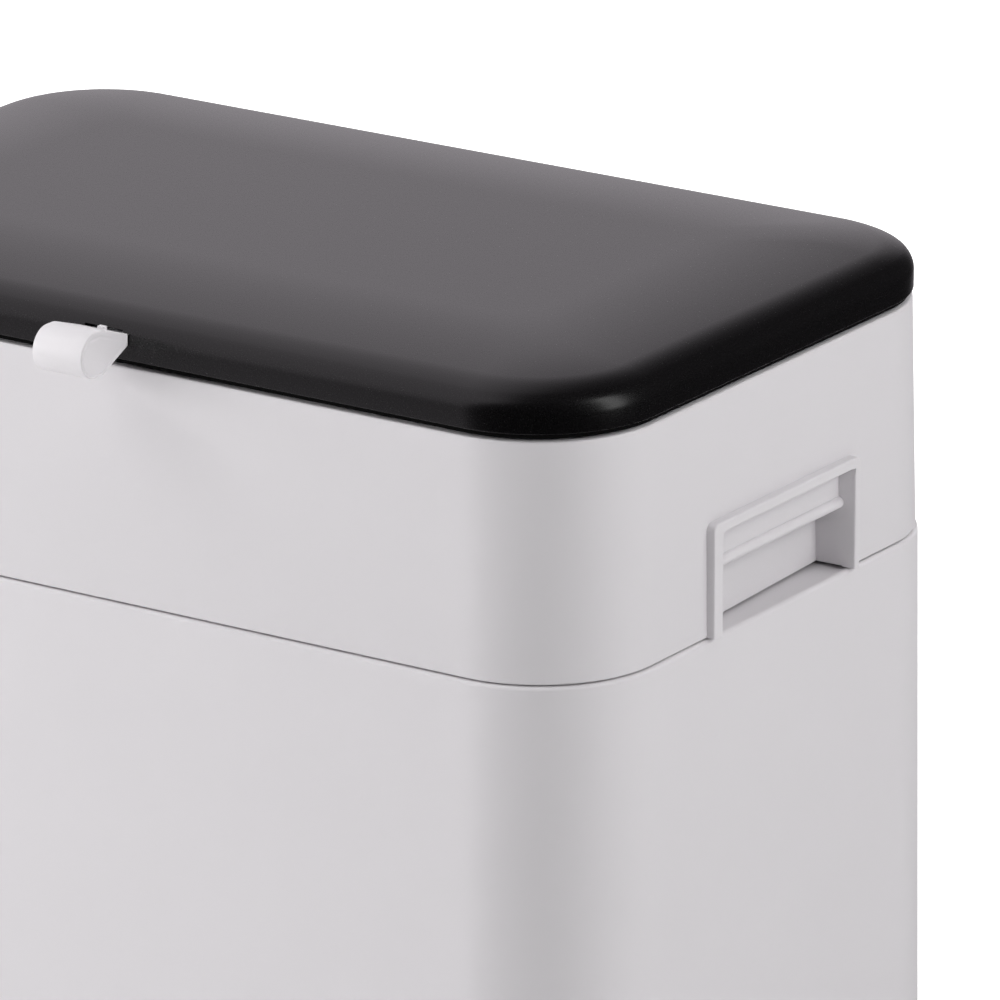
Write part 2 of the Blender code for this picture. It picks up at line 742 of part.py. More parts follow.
def lid_shell():
    """The charcoal lid: domed top, skirt, screw bosses, hinge knuckles and latch ears."""
    outer = lid_top_section(0.0)
    inner = lid_top_section(LID_WALL)
    foot = [(SKIRT_CHAMFER, LID_BOTTOM), (0.0, LID_BOTTOM + SKIRT_CHAMFER)]
    section = list(reversed(outer[1:])) + list(reversed(foot)) + inner
    lid = carried_section("lid_shell", section, FRAME_INSET - LID_OVERHANG)
    inside_top = inner[-1][1] + LID_WALL / 2
    bosses = [
        rod(f"lid_boss_{index}", place, LID_BOSS_RADIUS, PANEL_TOP + FIT_GAP, inside_top, "Z")
        for index, place in enumerate(lid_boss_places())
    ]
    for boss in bosses:
        fuse(lid, boss)
    bores = [
        rod(f"lid_bore_{index}", place, SCREW_SHANK_RADIUS + FIT_GAP, PANEL_TOP - OVERRUN,
            PANEL_BOTTOM + SCREW_LENGTH - FIT_GAP, "Z")
        for index, place in enumerate(lid_boss_places())
    ]
    cut(lid, joined("lid_bores", bores))
    for index, centre in enumerate((-HINGE_X, HINGE_X)):
        half = KNUCKLE_WIDTH / 2
        fuse(lid, prism(f"knuckle_{index}", knuckle_profile(), centre - half, centre + half, "X"))
    reach = HINGE_X + KNUCKLE_WIDTH
    cut(lid, rod("knuckle_bore", (HINGE_Y, HINGE_Z), HINGE_PIN_RADIUS + FIT_GAP, -reach, reach, "X"))
    for side in (-1, 1):
        near = BARREL_WIDTH / 2 + FIT_GAP
        start, end = side * near, side * (near + LATCH_EAR_THICKNESS)
        fuse(lid, prism(f"latch_ear_{side}", latch_ear_profile(), start, end, "X"))
    ear_reach = BARREL_WIDTH / 2 + LATCH_EAR_THICKNESS + OVERRUN
    pin_bore = LATCH_PIN_RADIUS + FIT_GAP
    cut(lid, rod("latch_pin_bore", (PIVOT_Y, PIVOT_Z), pin_bore, -ear_reach, ear_reach, "X"))
    half_window = ARM_WIDTH / 2 + SKIRT_WINDOW_CLEARANCE
    window_low = ARM_LOW - FIT_GAP
    cut(lid, box(
        "skirt_window",
        (-half_window, LID_FRONT - OVERRUN, window_low),
        (half_window, LID_FRONT + SKIRT_WINDOW_DEPTH, window_low + SKIRT_WINDOW_HEIGHT),
    ))
    set_origin(lid, (0.0, HINGE_Y, HINGE_Z))
    finish(lid, CHARCOAL, 0.45)


def lid_boss_places():
    return [(x, y) for y in (-LID_BOSS_Y, LID_BOSS_Y) for x in (-LID_BOSS_X, 0.0, LID_BOSS_X)]


def knuckle_profile():
    """Side view of a lid knuckle: a ring round the hinge axis on an arm from the back skirt."""
    axis = (HINGE_Y, HINGE_Z)
    root = LID_BACK - LID_WALL / 2
    return [
        (root, LID_BOTTOM + SKIRT_CHAMFER),
        (LID_BACK, LID_BOTTOM + SKIRT_CHAMFER),
        *arc(axis, KNUCKLE_RADIUS, 215, 450, KNUCKLE_STEPS),
        (root, HINGE_Z + KNUCKLE_RADIUS),
    ]


def latch_ear_profile():
    """Side view of a latch ear: a ring round the pivot that hangs from the underside of the lid."""
    half = LATCH_EAR_RADIUS
    back, front = PIVOT_Y + half, PIVOT_Y - half
    return [
        (back, lid_height(back - LID_FRONT) - LID_WALL / 2),
        (front, lid_height(front - LID_FRONT) - LID_WALL / 2),
        *arc((PIVOT_Y, PIVOT_Z), half, 180, 360, KNUCKLE_STEPS // 2),
    ]


def lid_inner_panel():
    """The plate that closes the lid, with the seal's channel and a rim that finds the frame."""
    rib_in = PANEL_EDGE + CHANNEL_RIB
    seal_in = rib_in + CHANNEL_GAP + SEAL_WIDTH + CHANNEL_GAP
    rim_out = FLANGE_WIDTH + RIM_CLEARANCE
    rim_in = rim_out + LOCATING_RIM_WALL
    rib_low = PANEL_BOTTOM - SEAL_HEIGHT * CHANNEL_SHARE
    rim_low = FRAME_TOP - LOCATING_RIM_DEPTH
    section = [
        (PANEL_EDGE, PANEL_TOP),
        (PANEL_EDGE, rib_low),
        (rib_in, rib_low),
        (rib_in, PANEL_BOTTOM),
        (seal_in, PANEL_BOTTOM),
        (seal_in, rib_low),
        (rim_out, rib_low),
        (rim_out, rim_low),
        (rim_in, rim_low),
        (rim_in, PANEL_BOTTOM),
    ]
    panel = carried_section("lid_inner_panel", section, FRAME_INSET)
    holes = [
        rod(f"panel_hole_{index}", place, SCREW_SHANK_RADIUS + FIT_GAP, PANEL_BOTTOM - OVERRUN,
            PANEL_TOP + OVERRUN, "Z")
        for index, place in enumerate(lid_boss_places())
    ]
    cut(panel, joined("panel_holes", holes))
    finish(panel, MID_GREY, 0.5)


def lid_seal():
    """The soft ring in the panel's channel, just clear of the frame's flange."""
    out = PANEL_EDGE + CHANNEL_RIB + CHANNEL_GAP
    into = out + SEAL_WIDTH
    low = FRAME_TOP + FIT_GAP
    high = low + SEAL_HEIGHT
    crown = SEAL_WIDTH / 4
    section = [
        (out, high),
        (out, low + crown),
        (out + crown, low),
        (into - crown, low),
        (into, low + crown),
        (into, high),
    ]
    finish(carried_section("lid_seal", section, FRAME_INSET, closed=True), RUBBER, 0.7)


def lid_screws():
    """Six screws that hold the inner panel to the shell's bosses."""
    for index, place in enumerate(lid_boss_places(), start=1):
        finish(screw(f"lid_screw_{index}", place, PANEL_BOTTOM), STEEL, 0.35, metallic=1.0)


def end_groove(side):
    """A ring that runs inside the drum's outline, cut into one of its ends."""
    face = side * LATCH_WIDTH / 2
    span = sorted((face + side * OVERRUN, face - side * GROOVE_DEPTH))
    ring = prism(f"end_groove_{side}", latch_profile(GROOVE_INSET), *span, "X")
    span = sorted((face + side * OVERRUN * 2, face - side * GROOVE_DEPTH * 2))
    cut(ring, prism(f"end_panel_{side}", latch_profile(GROOVE_INSET + GROOVE_WIDTH), *span, "X"))
    return ring


def latch_shell():
    """The white drum and its tip, with a slot for the lever's tongue and a grip nub on top."""
    half = LATCH_WIDTH / 2
    shell = prism("latch_shell", latch_profile(0.0), -half, half, "X")
    half_slot = ARM_WIDTH / 2 + FIT_GAP
    cut(shell, box(
        "tongue_slot",
        (-half_slot, ARM_FRONT - FIT_GAP, ARM_LOW - FIT_GAP),
        (half_slot, TIP_Y + OVERRUN, ARM_TOP + FIT_GAP),
    ))
    for side in (-1, 1):
        cut(shell, end_groove(side))
    nub_top = FRAME_TOP + LATCH_TIP_LOW + LATCH_TIP_HEIGHT + NUB_HEIGHT
    nub_back = TIP_Y - LATCH_TIP_GAP
    fuse(shell, box(
        "latch_nub",
        (-NUB_WIDTH / 2, nub_back - NUB_LENGTH, ARM_TOP + FIT_GAP * 2),
        (NUB_WIDTH / 2, nub_back, nub_top),
    ))
    set_origin(shell, (0.0, PIVOT_Y, PIVOT_Z))
    finish(shell, WHITE, 0.4)


def latch_lever():
    """The tongue inside the drum, the barrel on the pin and the hook that catches the frame."""
    half = ARM_WIDTH / 2
    lever = box("latch_lever", (-half, ARM_FRONT, ARM_LOW), (half, PIVOT_Y, ARM_TOP))
    half_barrel = BARREL_WIDTH / 2
    fuse(lever, rod("latch_barrel", (PIVOT_Y, PIVOT_Z), BARREL_RADIUS, -half_barrel, half_barrel, "X",
                    steps=KNUCKLE_STEPS))
    barb_top = FRAME_TOP - FLANGE_THICKNESS - FIT_GAP
    barb_low = barb_top - BARB_HEIGHT
    stem_front = PIVOT_Y - HOOK_THICKNESS / 2
    stem_back = stem_front + HOOK_THICKNESS
    hook = [
        (stem_front, PIVOT_Z),
        (stem_front, barb_low),
        (stem_back, barb_low),
        (stem_back + BARB_REACH, barb_top - BARB_HEIGHT / 3),
        (stem_back + BARB_REACH, barb_top),
        (stem_back, barb_top),
        (stem_back, PIVOT_Z),
    ]
    fuse(lever, prism("latch_hook", hook, -HOOK_WIDTH / 2, HOOK_WIDTH / 2, "X"))
    reach = half_barrel + OVERRUN
    cut(lever, rod("lever_bore", (PIVOT_Y, PIVOT_Z), LATCH_PIN_RADIUS + FIT_GAP, -reach, reach, "X"))
    slot_half = SPRING_SLOT_WIDTH / 2
    cut(lever, rod("spring_slot", (PIVOT_Y, PIVOT_Z), BARREL_RADIUS + FIT_GAP, -slot_half, slot_half, "X",
                   steps=KNUCKLE_STEPS))
    set_origin(lever, (0.0, PIVOT_Y, PIVOT_Z))
    finish(lever, WHITE, 0.45)


def latch_pin():
    """The steel pin through the latch ears, on the latch's own axis."""
    half = BARREL_WIDTH / 2 + FIT_GAP + LATCH_EAR_THICKNESS
    pin = rod("latch_pin", (PIVOT_Y, PIVOT_Z), LATCH_PIN_RADIUS, -half, half, "X")
    set_origin(pin, (0.0, PIVOT_Y, PIVOT_Z))
    finish(pin, STEEL, 0.3, metallic=1.0)


def latch_spring():
    """The torsion spring round the pin: its turns, and a leg to the lid and one to the arm."""
    count = SPRING_TURNS * SPRING_POINTS_PER_TURN
    half = SPRING_TURNS * SPRING_PITCH / 2
    points = []
    for step in range(count + 1):
        angle = pi / 2 + 2 * pi * step / SPRING_POINTS_PER_TURN
        x = SPRING_PITCH * step / SPRING_POINTS_PER_TURN - half
        y = PIVOT_Y + SPRING_COIL_RADIUS * cos(angle)
        z = PIVOT_Z + SPRING_COIL_RADIUS * sin(angle)
        points.append((x, y, z))
    first, last = points[0], points[-1]
    back_leg = (first[0], first[1] + SPRING_LEG, first[2])
    front_leg = (last[0], last[1] - SPRING_LEG, last[2] + SPRING_LEG_RISE)
    curve = bpy.data.curves.new("latch_spring", "CURVE")
    curve.dimensions = "3D"
    curve.bevel_depth = SPRING_WIRE_RADIUS
    curve.bevel_resolution = 1
    curve.use_fill_caps = True
    spline = curve.splines.new("POLY")
    route = [back_leg, *points, front_leg]
    spline.points.add(len(route) - 1)
    for target, point in zip(spline.points, route):
        target.co = (*point, 1.0)
    spring = bpy.data.objects.new("latch_spring", curve)
    bpy.context.scene.collection.objects.link(spring)
    material = bpy.data.materials.new("latch_spring")
    material.use_nodes = True
    shader = material.node_tree.nodes["Principled BSDF"]
    shader.inputs["Base Color"].default_value = (*STEEL, 1.0)
    shader.inputs["Metallic"].default_value = 1.0
    shader.inputs["Roughness"].default_value = 0.3
    curve.materials.append(material)


def carry_all():
    """Hangs every piece and cutter on one empty, which sets the body back from the origin."""
    pieces = list(bpy.data.objects)
    carrier = bpy.data.objects.new("bin", None)
    bpy.context.scene.collection.objects.link(carrier)
    carrier.location = (0.0, BODY_SET_BACK, 0.0)
    for piece in pieces:
        piece.parent = carrier


if __name__ == "__main__":
    for old in list(bpy.data.objects):
        bpy.data.objects.remove(old)
    casing()
    base_plate()
    feet()
    base_screws()
    inner_bucket()
    upper_frame()
    hinge_pins()
    lid_shell()
    lid_inner_panel()
    lid_seal()
    lid_screws()
    latch_shell()
    latch_lever()
    latch_pin()
    latch_spring()
    carry_all()
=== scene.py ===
"""A two-part kitchen bin with a charcoal lid and a white lever latch, in a plain pale studio.

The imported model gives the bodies, the joints and the hidden pieces. This script carries the
visible pieces out as fine surfaces, each a profile carried round a rounded rectangle or along
a straight line, and gives every piece its moulded, rubbered or plated finish. Metres, +Z up,
with the bin's front towards -Y.
"""

import json
import logging
from collections.abc import Sequence
from dataclasses import dataclass
from enum import Enum

import bmesh
import bpy
import numpy as np
from mathutils import Matrix, Vector

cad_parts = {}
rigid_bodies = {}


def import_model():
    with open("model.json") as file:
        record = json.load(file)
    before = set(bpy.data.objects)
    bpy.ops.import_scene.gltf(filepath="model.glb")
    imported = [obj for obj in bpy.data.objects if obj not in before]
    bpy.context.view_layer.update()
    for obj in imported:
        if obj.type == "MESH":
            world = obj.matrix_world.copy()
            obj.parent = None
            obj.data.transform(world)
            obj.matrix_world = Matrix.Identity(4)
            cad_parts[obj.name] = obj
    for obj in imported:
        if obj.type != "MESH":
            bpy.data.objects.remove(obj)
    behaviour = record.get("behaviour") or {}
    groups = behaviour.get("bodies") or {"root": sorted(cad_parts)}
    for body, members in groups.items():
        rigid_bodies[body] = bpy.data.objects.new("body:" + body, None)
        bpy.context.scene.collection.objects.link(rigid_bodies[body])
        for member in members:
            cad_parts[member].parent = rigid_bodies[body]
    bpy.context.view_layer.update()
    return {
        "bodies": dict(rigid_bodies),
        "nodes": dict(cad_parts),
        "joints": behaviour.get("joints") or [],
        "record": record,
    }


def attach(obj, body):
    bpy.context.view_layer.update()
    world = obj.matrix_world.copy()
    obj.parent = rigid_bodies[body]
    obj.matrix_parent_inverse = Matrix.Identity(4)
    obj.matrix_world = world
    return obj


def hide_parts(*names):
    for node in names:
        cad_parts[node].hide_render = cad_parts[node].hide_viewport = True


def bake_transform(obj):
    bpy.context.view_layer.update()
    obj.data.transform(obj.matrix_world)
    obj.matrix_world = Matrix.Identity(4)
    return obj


LOG = logging.getLogger("kitchen_bin")
Array = np.ndarray
Pair = tuple[float, float]
Triple = tuple[float, float, float]
Piece = bpy.types.Object
Tree = bpy.types.NodeTree
Socket = bpy.types.NodeSocket

MM = 0.001
SET_BACK = 8.3 * MM
PARTING = 305 * MM
FRAME_TOP = 390 * MM
FIT = 0.3 * MM
OVERRUN = 2 * MM
CORNER_STEPS = 28
ROUND_STEPS = 8
EDGE_STEPS = 6
EAR_STEPS = 20
SMALL_STEPS = 5
FOOT_STEPS = 4
BAR_STEPS = 32
RING_STEPS = 36
SMOOTH_ANGLE = np.radians(32)
PHOTO_PIXELS = 1000


class Body(Enum):
    """The bodies that pieces ride on."""

    CASING = "casing"
    FRAME = "frame"
    LID = "lid"
    LATCH = "latch"


class Join(Enum):
    """What a tool does to the solid that it meets."""

    ADD = "UNION"
    CUT = "DIFFERENCE"


Tool = tuple[Join, Piece]


# --- Shapes ---


def arc(centre: Sequence[float], radius: float, start: float, end: float, steps: int) -> Array:
    """Points of a circle's arc, both ends included.

    A point is the centre plus the radius times the cosine and sine of an angle that runs
    evenly from start to end.

    Args:
        centre: The circle's centre in the profile's plane.
        radius: The circle's radius.
        start: First angle in degrees.
        end: Last angle in degrees.
        steps: Number of chords.

    Returns:
        An array of steps + 1 points.
    """
    angle = np.radians(np.linspace(start, end, steps + 1))
    return np.asarray(centre) + radius * np.stack([np.cos(angle), np.sin(angle)], axis=-1)


def path(*parts: Sequence) -> Array:
    """Joins single points and runs of points into one profile.

    Args:
        parts: Points or arrays of points, in order.

    Returns:
        An array of all the points.
    """
    return np.concatenate([np.atleast_2d(np.asarray(part, float)) for part in parts])


@dataclass(frozen=True)
class Outline:
    """A rounded rectangle in a plane, which profiles are carried round.

    Attributes:
        half_x: Half its first side.
        half_y: Half its second side.
        corner: Its corner radius.
        centre: Its middle.
        least: Corner radius that far insets settle to.
        steps: Chords in each quarter circle.
    """

    half_x: float
    half_y: float
    corner: float
    centre: Pair = (0.0, SET_BACK)
    least: float = 2 * MM
    steps: int = CORNER_STEPS

    def rings(self, insets: Array, gains: Array | float = 0.0) -> Array:
        """Rings moved inwards from the outline.

        A point is its corner's centre plus the radius times the cosine and sine of its angle.
        The half sizes and the radius shrink by the inset. From twice the least radius on, the
        radius approaches the least one by an exponential that leaves with the same slope.

        Args:
            insets: How far each ring lies inside the outline.
            gains: What each ring's corner radius gains.

        Returns:
            An array of rings by points by two.
        """
        inset = np.asarray(insets, float)[:, None]
        wanted = self.corner + np.broadcast_to(gains, inset.shape[:1])[:, None] - inset
        eased = self.least * (1 + np.exp(np.minimum(wanted / self.least - 2, 0)))
        radius = np.where(wanted > 2 * self.least, wanted, eased)
        turn = np.linspace(0, np.pi / 2, self.steps + 1)
        angle = (np.arange(-1, 3)[:, None] * np.pi / 2 + turn).ravel()
        side_x = np.repeat([1, 1, -1, -1], self.steps + 1)
        side_y = np.repeat([-1, 1, 1, -1], self.steps + 1)
        x = self.centre[0] + side_x * (self.half_x - inset - radius) + radius * np.cos(angle)
        y = self.centre[1] + side_y * (self.half_y - inset - radius) + radius * np.sin(angle)
        return np.stack([x, y], axis=-1)


def added(name: str, data: bpy.types.ID) -> Piece:
    """Adds an object with this mesh, lamp or lens to the scene."""
    made = bpy.data.objects.new(name, data)
    bpy.context.scene.collection.objects.link(made)
    return made


def solid(name: str, rings: Array, closed: bool = False) -> Piece:
    """Makes a mesh from rings of points, with a flat face at both ends of an open run.

    Args:
        name: Name of the new object.
        rings: Rings by points by three.
        closed: Whether the last ring joins the first one.

    Returns:
        The new object, with its faces pointing out.
    """
    rows, columns = rings.shape[:2]
    index = np.arange(rows * columns).reshape(rows, columns)
    if closed:
        index = np.vstack([index, index[:1]])
    right = np.roll(index, -1, axis=1)
    faces = np.stack([index[:-1], right[:-1], right[1:], index[1:]], axis=-1).reshape(-1, 4).tolist()
    if not closed:
        faces += [index[0].tolist(), index[-1].tolist()]
    mesh = bpy.data.meshes.new(name)
    mesh.from_pydata(rings.reshape(-1, 3).tolist(), [], faces)
    turned = bmesh.new()
    turned.from_mesh(mesh)
    bmesh.ops.recalc_face_normals(turned, faces=turned.faces)
    turned.to_mesh(mesh)
    turned.free()
    return added(name, mesh)


def placed(flat: Array, along: Sequence[float], axis: int) -> Array:
    """Gives flat rings their places along the axis that they lack.

    Args:
        flat: Rings by points by two.
        along: Each ring's place.
        axis: The axis: 0 for X, 1 for Y, 2 for Z.

    Returns:
        Rings by points by three.
    """
    return np.insert(flat, axis, np.reshape(along, (-1, 1)), axis=2)


def carried(name: str, outline: Outline, section: Array, gains: Array | float = 0.0,
            closed: bool = False, axis: int = 2) -> Piece:
    """Carries a section of (inset, height) pairs round an outline.

    Args:
        name: Name of the new object.
        outline: The rounded rectangle.
        section: Inset and height of each ring.
        gains: What each ring's corner radius gains.
        closed: Whether the section closes on itself.
        axis: Where height points: 2 for Z, 0 for X with an outline in Y and Z.

    Returns:
        The new object.
    """
    return solid(name, placed(outline.rings(section[:, 0], gains), section[:, 1], axis), closed)


def prism(name: str, profile: Array, stations: Sequence[float]) -> Piece:
    """Carries a (y, z) profile along X, to each station in turn.

    Args:
        name: Name of the new object.
        profile: Points of the profile, or one such run of points for each station.
        stations: The X of each copy of the profile.

    Returns:
        The new object.
    """
    flat = np.broadcast_to(profile, (len(stations), *profile.shape[-2:]))
    return solid(name, placed(flat, stations, 0))


def box(x: Pair, y: Pair, z: Pair) -> Piece:
    """Makes a plain block, used as a tool only.

    Args:
        x: Its span in X.
        y: Its span in Y.
        z: Its span in Z.

    Returns:
        The new object.
    """
    return prism("box", np.array([(y[0], z[0]), (y[1], z[0]), (y[1], z[1]), (y[0], z[1])]), x)


def about(middle: float, half: float) -> Pair:
    """The span that reaches as far to both sides of a middle."""
    return middle - half, middle + half


def mirrored(side: int, near: float, far: float) -> Pair:
    """The span from near to far on the bin's right (1) or its left (-1), lowest first."""
    return min(side * near, side * far), max(side * near, side * far)


def bar(centre: Pair, radius: float, half: float) -> Piece:
    """Makes a round bar along X, as long to the left as to the right, used as a tool only.

    Args:
        centre: Its Y and Z.
        radius: Its radius.
        half: Half its length.

    Returns:
        The new object.
    """
    return prism("bar", arc(centre, radius, 0, 360, BAR_STEPS)[:-1], about(0, half))


def post(name: str, place: Pair, rows: Sequence[Pair], steps: int = BAR_STEPS) -> Piece:
    """Turns a section of (radius, height) pairs about an upright line.

    Args:
        name: Name of the new object.
        place: X and Y of the line.
        rows: Radius and height of each ring.
        steps: Sides of its round.

    Returns:
        The new object.
    """
    flat = np.stack([arc(place, radius, 0, 360, steps)[:-1] for radius, _ in rows])
    return solid(name, placed(flat, [height for _, height in rows], 2))


def bosses(places: Sequence[Pair], radii: Pair, foot: float, tops: Pair) -> list[Tool]:
    """Upright screw bosses, each with its bore from below.

    Args:
        places: X and Y of each boss.
        radii: Radius of a boss and of its bore.
        foot: Z of their feet.
        tops: Z of a boss's top and of its bore's top.

    Returns:
        The tools, in working order.
    """
    tools = []
    for place in places:
        for how, radius, low, high in ((Join.ADD, radii[0], foot, tops[0]),
                                       (Join.CUT, radii[1], foot - OVERRUN, tops[1])):
            tools.append((how, post("boss", place, [(radius, low), (radius, high)])))
    return tools


def carve(target: Piece, tools: Sequence[Tool]) -> None:
    """Adds and cuts solids one after another, and keeps only the result.

    Args:
        target: The solid to work on.
        tools: What each tool does, and the tool.
    """
    for how, tool in tools:
        modifier = target.modifiers.new(tool.name, "BOOLEAN")
        modifier.operation = how.value
        modifier.solver = "EXACT"
        modifier.object = tool
    graph = bpy.context.evaluated_depsgraph_get()
    mesh = bpy.data.meshes.new_from_object(target.evaluated_get(graph))
    target.modifiers.clear()
    target.data = mesh
    for _, tool in tools:
        bpy.data.objects.remove(tool)


# --- Finishes ---


def linear(colour: str) -> tuple[float, float, float, float]:
    """Turns an sRGB hex colour into linear light.

    Args:
        colour: Six hex digits.

    Returns:
        Red, green, blue and an alpha of one.
    """
    channels = [int(colour[place:place + 2], 16) / 255 for place in (0, 2, 4)]
    light = [c / 12.92 if c <= 0.04045 else ((c + 0.055) / 1.055) ** 2.4 for c in channels]
    return (*light, 1.0)


def feed(tree: Tree, target: bpy.types.Node, links: dict | None = None, values: dict | None = None) -> None:
    """Sets a node's constant values and links its inputs, by socket name or number.

    Args:
        tree: The tree that holds it.
        target: The node.
        links: The outputs that feed it.
        values: Its constant values.
    """
    for name, value in (values or {}).items():
        target.inputs[name].default_value = value
    for name, output in (links or {}).items():
        tree.links.new(output, target.inputs[name])


def node(tree: Tree, kind: str, links: dict | None = None, values: dict | None = None,
         **settings) -> bpy.types.Node:
    """Adds a node with its settings, its constant values and the links that feed it.

    Args:
        tree: The tree to add it to.
        kind: Its type name, without the prefix.
        links: The outputs that feed it.
        values: Its constant values.
        settings: Attributes of the node itself.

    Returns:
        The new node.
    """
    made = tree.nodes.new(f"ShaderNode{kind}")
    for name, value in settings.items():
        setattr(made, name, value)
    feed(tree, made, links, values)
    return made


def ramp(tree: Tree, value: Socket, start: Pair, end: Pair, kind: str = "LINEAR") -> Socket:
    """Maps one range to another, and holds the ends beyond it.

    Args:
        tree: The tree to add the node to.
        value: The output to map.
        start: The range that it has.
        end: The range that it gets.
        kind: How it runs between the ends.

    Returns:
        The output that carries the result.
    """
    ends = {"From Min": start[0], "From Max": start[1], "To Min": end[0], "To Max": end[1]}
    return node(tree, "MapRange", {"Value": value}, ends, interpolation_type=kind).outputs["Result"]


@dataclass(frozen=True)
class Finish:
    """What a piece is made of: a colour, and a roughness that a fine grain moves up and down.

    Attributes:
        title: Name of the material.
        colour: Its sRGB colour.
        roughness: How matte it is.
        spread: How far the grain moves the roughness.
        grain: Width of the grain.
        detail: How much finer structure the grain has.
    """

    title: str
    colour: str
    roughness: float
    spread: float
    grain: float
    detail: float = 2.0

    def material(self) -> bpy.types.Material:
        """Builds the material once, and hands it out again after that."""
        found = bpy.data.materials.get(self.title)
        if found:
            return found
        made = bpy.data.materials.new(self.title)
        made.use_nodes = True
        tree = made.node_tree
        place = node(tree, "TexCoord").outputs["Object"]
        scale = {"Scale": 1 / self.grain, "Detail": self.detail}
        grain = node(tree, "TexNoise", {"Vector": place}, scale).outputs["Fac"]
        links, values = self.paint(tree, place, grain)
        links["Roughness"] = ramp(tree, grain, (0.0, 1.0), about(self.roughness, self.spread))
        feed(tree, tree.nodes["Principled BSDF"], links, values)
        return made

    def paint(self, tree: Tree, place: Socket, grain: Socket) -> tuple[dict, dict]:
        """What only this kind of finish gives to the shader.

        Args:
            tree: The material's tree.
            place: The object's own coordinates.
            grain: The grain's height.

        Returns:
            The shader's links and its constant values.
        """
        raise NotImplementedError


@dataclass(frozen=True)
class MouldedPlastic(Finish):
    """Injection-moulded plastic: an even colour under a fine grain from the mould's steel.

    Attributes:
        cloud_colour: The sRGB colour of its faint cloudy patches.
        grain_depth: Height of the grain.
        ior: Index of refraction.
        reflection: The sRGB tint of its reflections.
        cloud: Width of the patches.
    """

    cloud_colour: str = "FFFFFF"
    grain_depth: float = 0.006 * MM
    ior: float = 1.49
    reflection: str = "FFFFFF"
    cloud: float = 60 * MM

    def paint(self, tree: Tree, place: Socket, grain: Socket) -> tuple[dict, dict]:
        """The cloudy colour and the grain's relief."""
        clouds = node(tree, "TexNoise", {"Vector": place}, {"Scale": 1 / self.cloud, "Detail": 3.0})
        tint = node(tree, "Mix", {"Factor": clouds.outputs["Fac"]},
                    {6: linear(self.colour), 7: linear(self.cloud_colour)}, data_type="RGBA")
        bump = node(tree, "Bump", {"Height": grain}, {"Strength": 1.0, "Distance": self.grain_depth})
        return ({"Base Color": tint.outputs[2], "Normal": bump.outputs["Normal"]},
                {"IOR": self.ior, "Specular Tint": linear(self.reflection)})


@dataclass(frozen=True)
class PlatedSteel(Finish):
    """Cold-headed steel with a thin zinc coat: bright, a little cloudy, faintly blue."""

    def paint(self, tree: Tree, place: Socket, grain: Socket) -> tuple[dict, dict]:
        """Metal of one colour."""
        return {}, {"Base Color": linear(self.colour), "Metallic": 1.0}


# Polypropylene from a spark-eroded mould: an even, chalky grey without highlights.
BODY_GREY = MouldedPlastic("matte_moulded_polypropylene", "D3D0D3", 0.58, 0.05, 0.5 * MM,
                           cloud_colour="D0CDD0")
# The same plastic from a plainer mould, for what is hidden: darker and a little smoother.
INNER_GREY = MouldedPlastic("plain_moulded_polypropylene", "9A999B", 0.46, 0.05, 0.8 * MM,
                            cloud_colour="959496", grain_depth=0.01 * MM)
# Dyed through and satin from a polished mould: near black, with broad soft reflections.
CHARCOAL = MouldedPlastic("satin_moulded_polypropylene", "0D0C0D", 0.28, 0.04, 0.6 * MM,
                          cloud_colour="0A090A")
# ABS from a polished mould: clean white with a low gloss.
LATCH_WHITE = MouldedPlastic("white_moulded_abs", "E0DDE0", 0.38, 0.03, 0.5 * MM,
                             cloud_colour="DEDBDE", grain_depth=0.003 * MM, ior=1.53)
# Moulded elastomer: black, dull, and slightly grainy.
RUBBER = MouldedPlastic("moulded_rubber", "1A1A1A", 0.78, 0.06, 0.7 * MM,
                        cloud_colour="222222", grain_depth=0.02 * MM)
# Painted seam shadow: near black, rough and with its reflections dimmed, so the gap under the lid's skirt
# stays black and shows no gloss.
SEAM_SHADOW_BLACK = MouldedPlastic("painted_seam_shadow_black", "0B0B0B", 0.95, 0.02, 0.4 * MM,
                      cloud_colour="0E0E0E", grain_depth=0.03 * MM, reflection="202020")
# Zinc-plated steel: bright, and softened by the coat's fine spangle.
STEEL = PlatedSteel("zinc_plated_steel", "C9CCD0", 0.32, 0.08, 1.2 * MM, 4.0)


def dress(piece: Piece, finish: Finish, body: Body, replaces: Sequence[str] = ()) -> None:
    """Shades a piece, gives it its finish, and ties it to its body.

    Args:
        piece: The finished piece.
        finish: What it is made of.
        body: The body it rides on.
        replaces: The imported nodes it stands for.
    """
    piece.data.shade_smooth()
    piece.data.set_sharp_from_angle(angle=SMOOTH_ANGLE)
    piece.data.materials.clear()
    piece.data.materials.append(finish.material())
    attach(piece, body.value)
    if replaces:
        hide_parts(*replaces)
    LOG.info("%s: %d faces, rides on %s", piece.name, len(piece.data.polygons), body.value)


# --- The bin's own shape ---


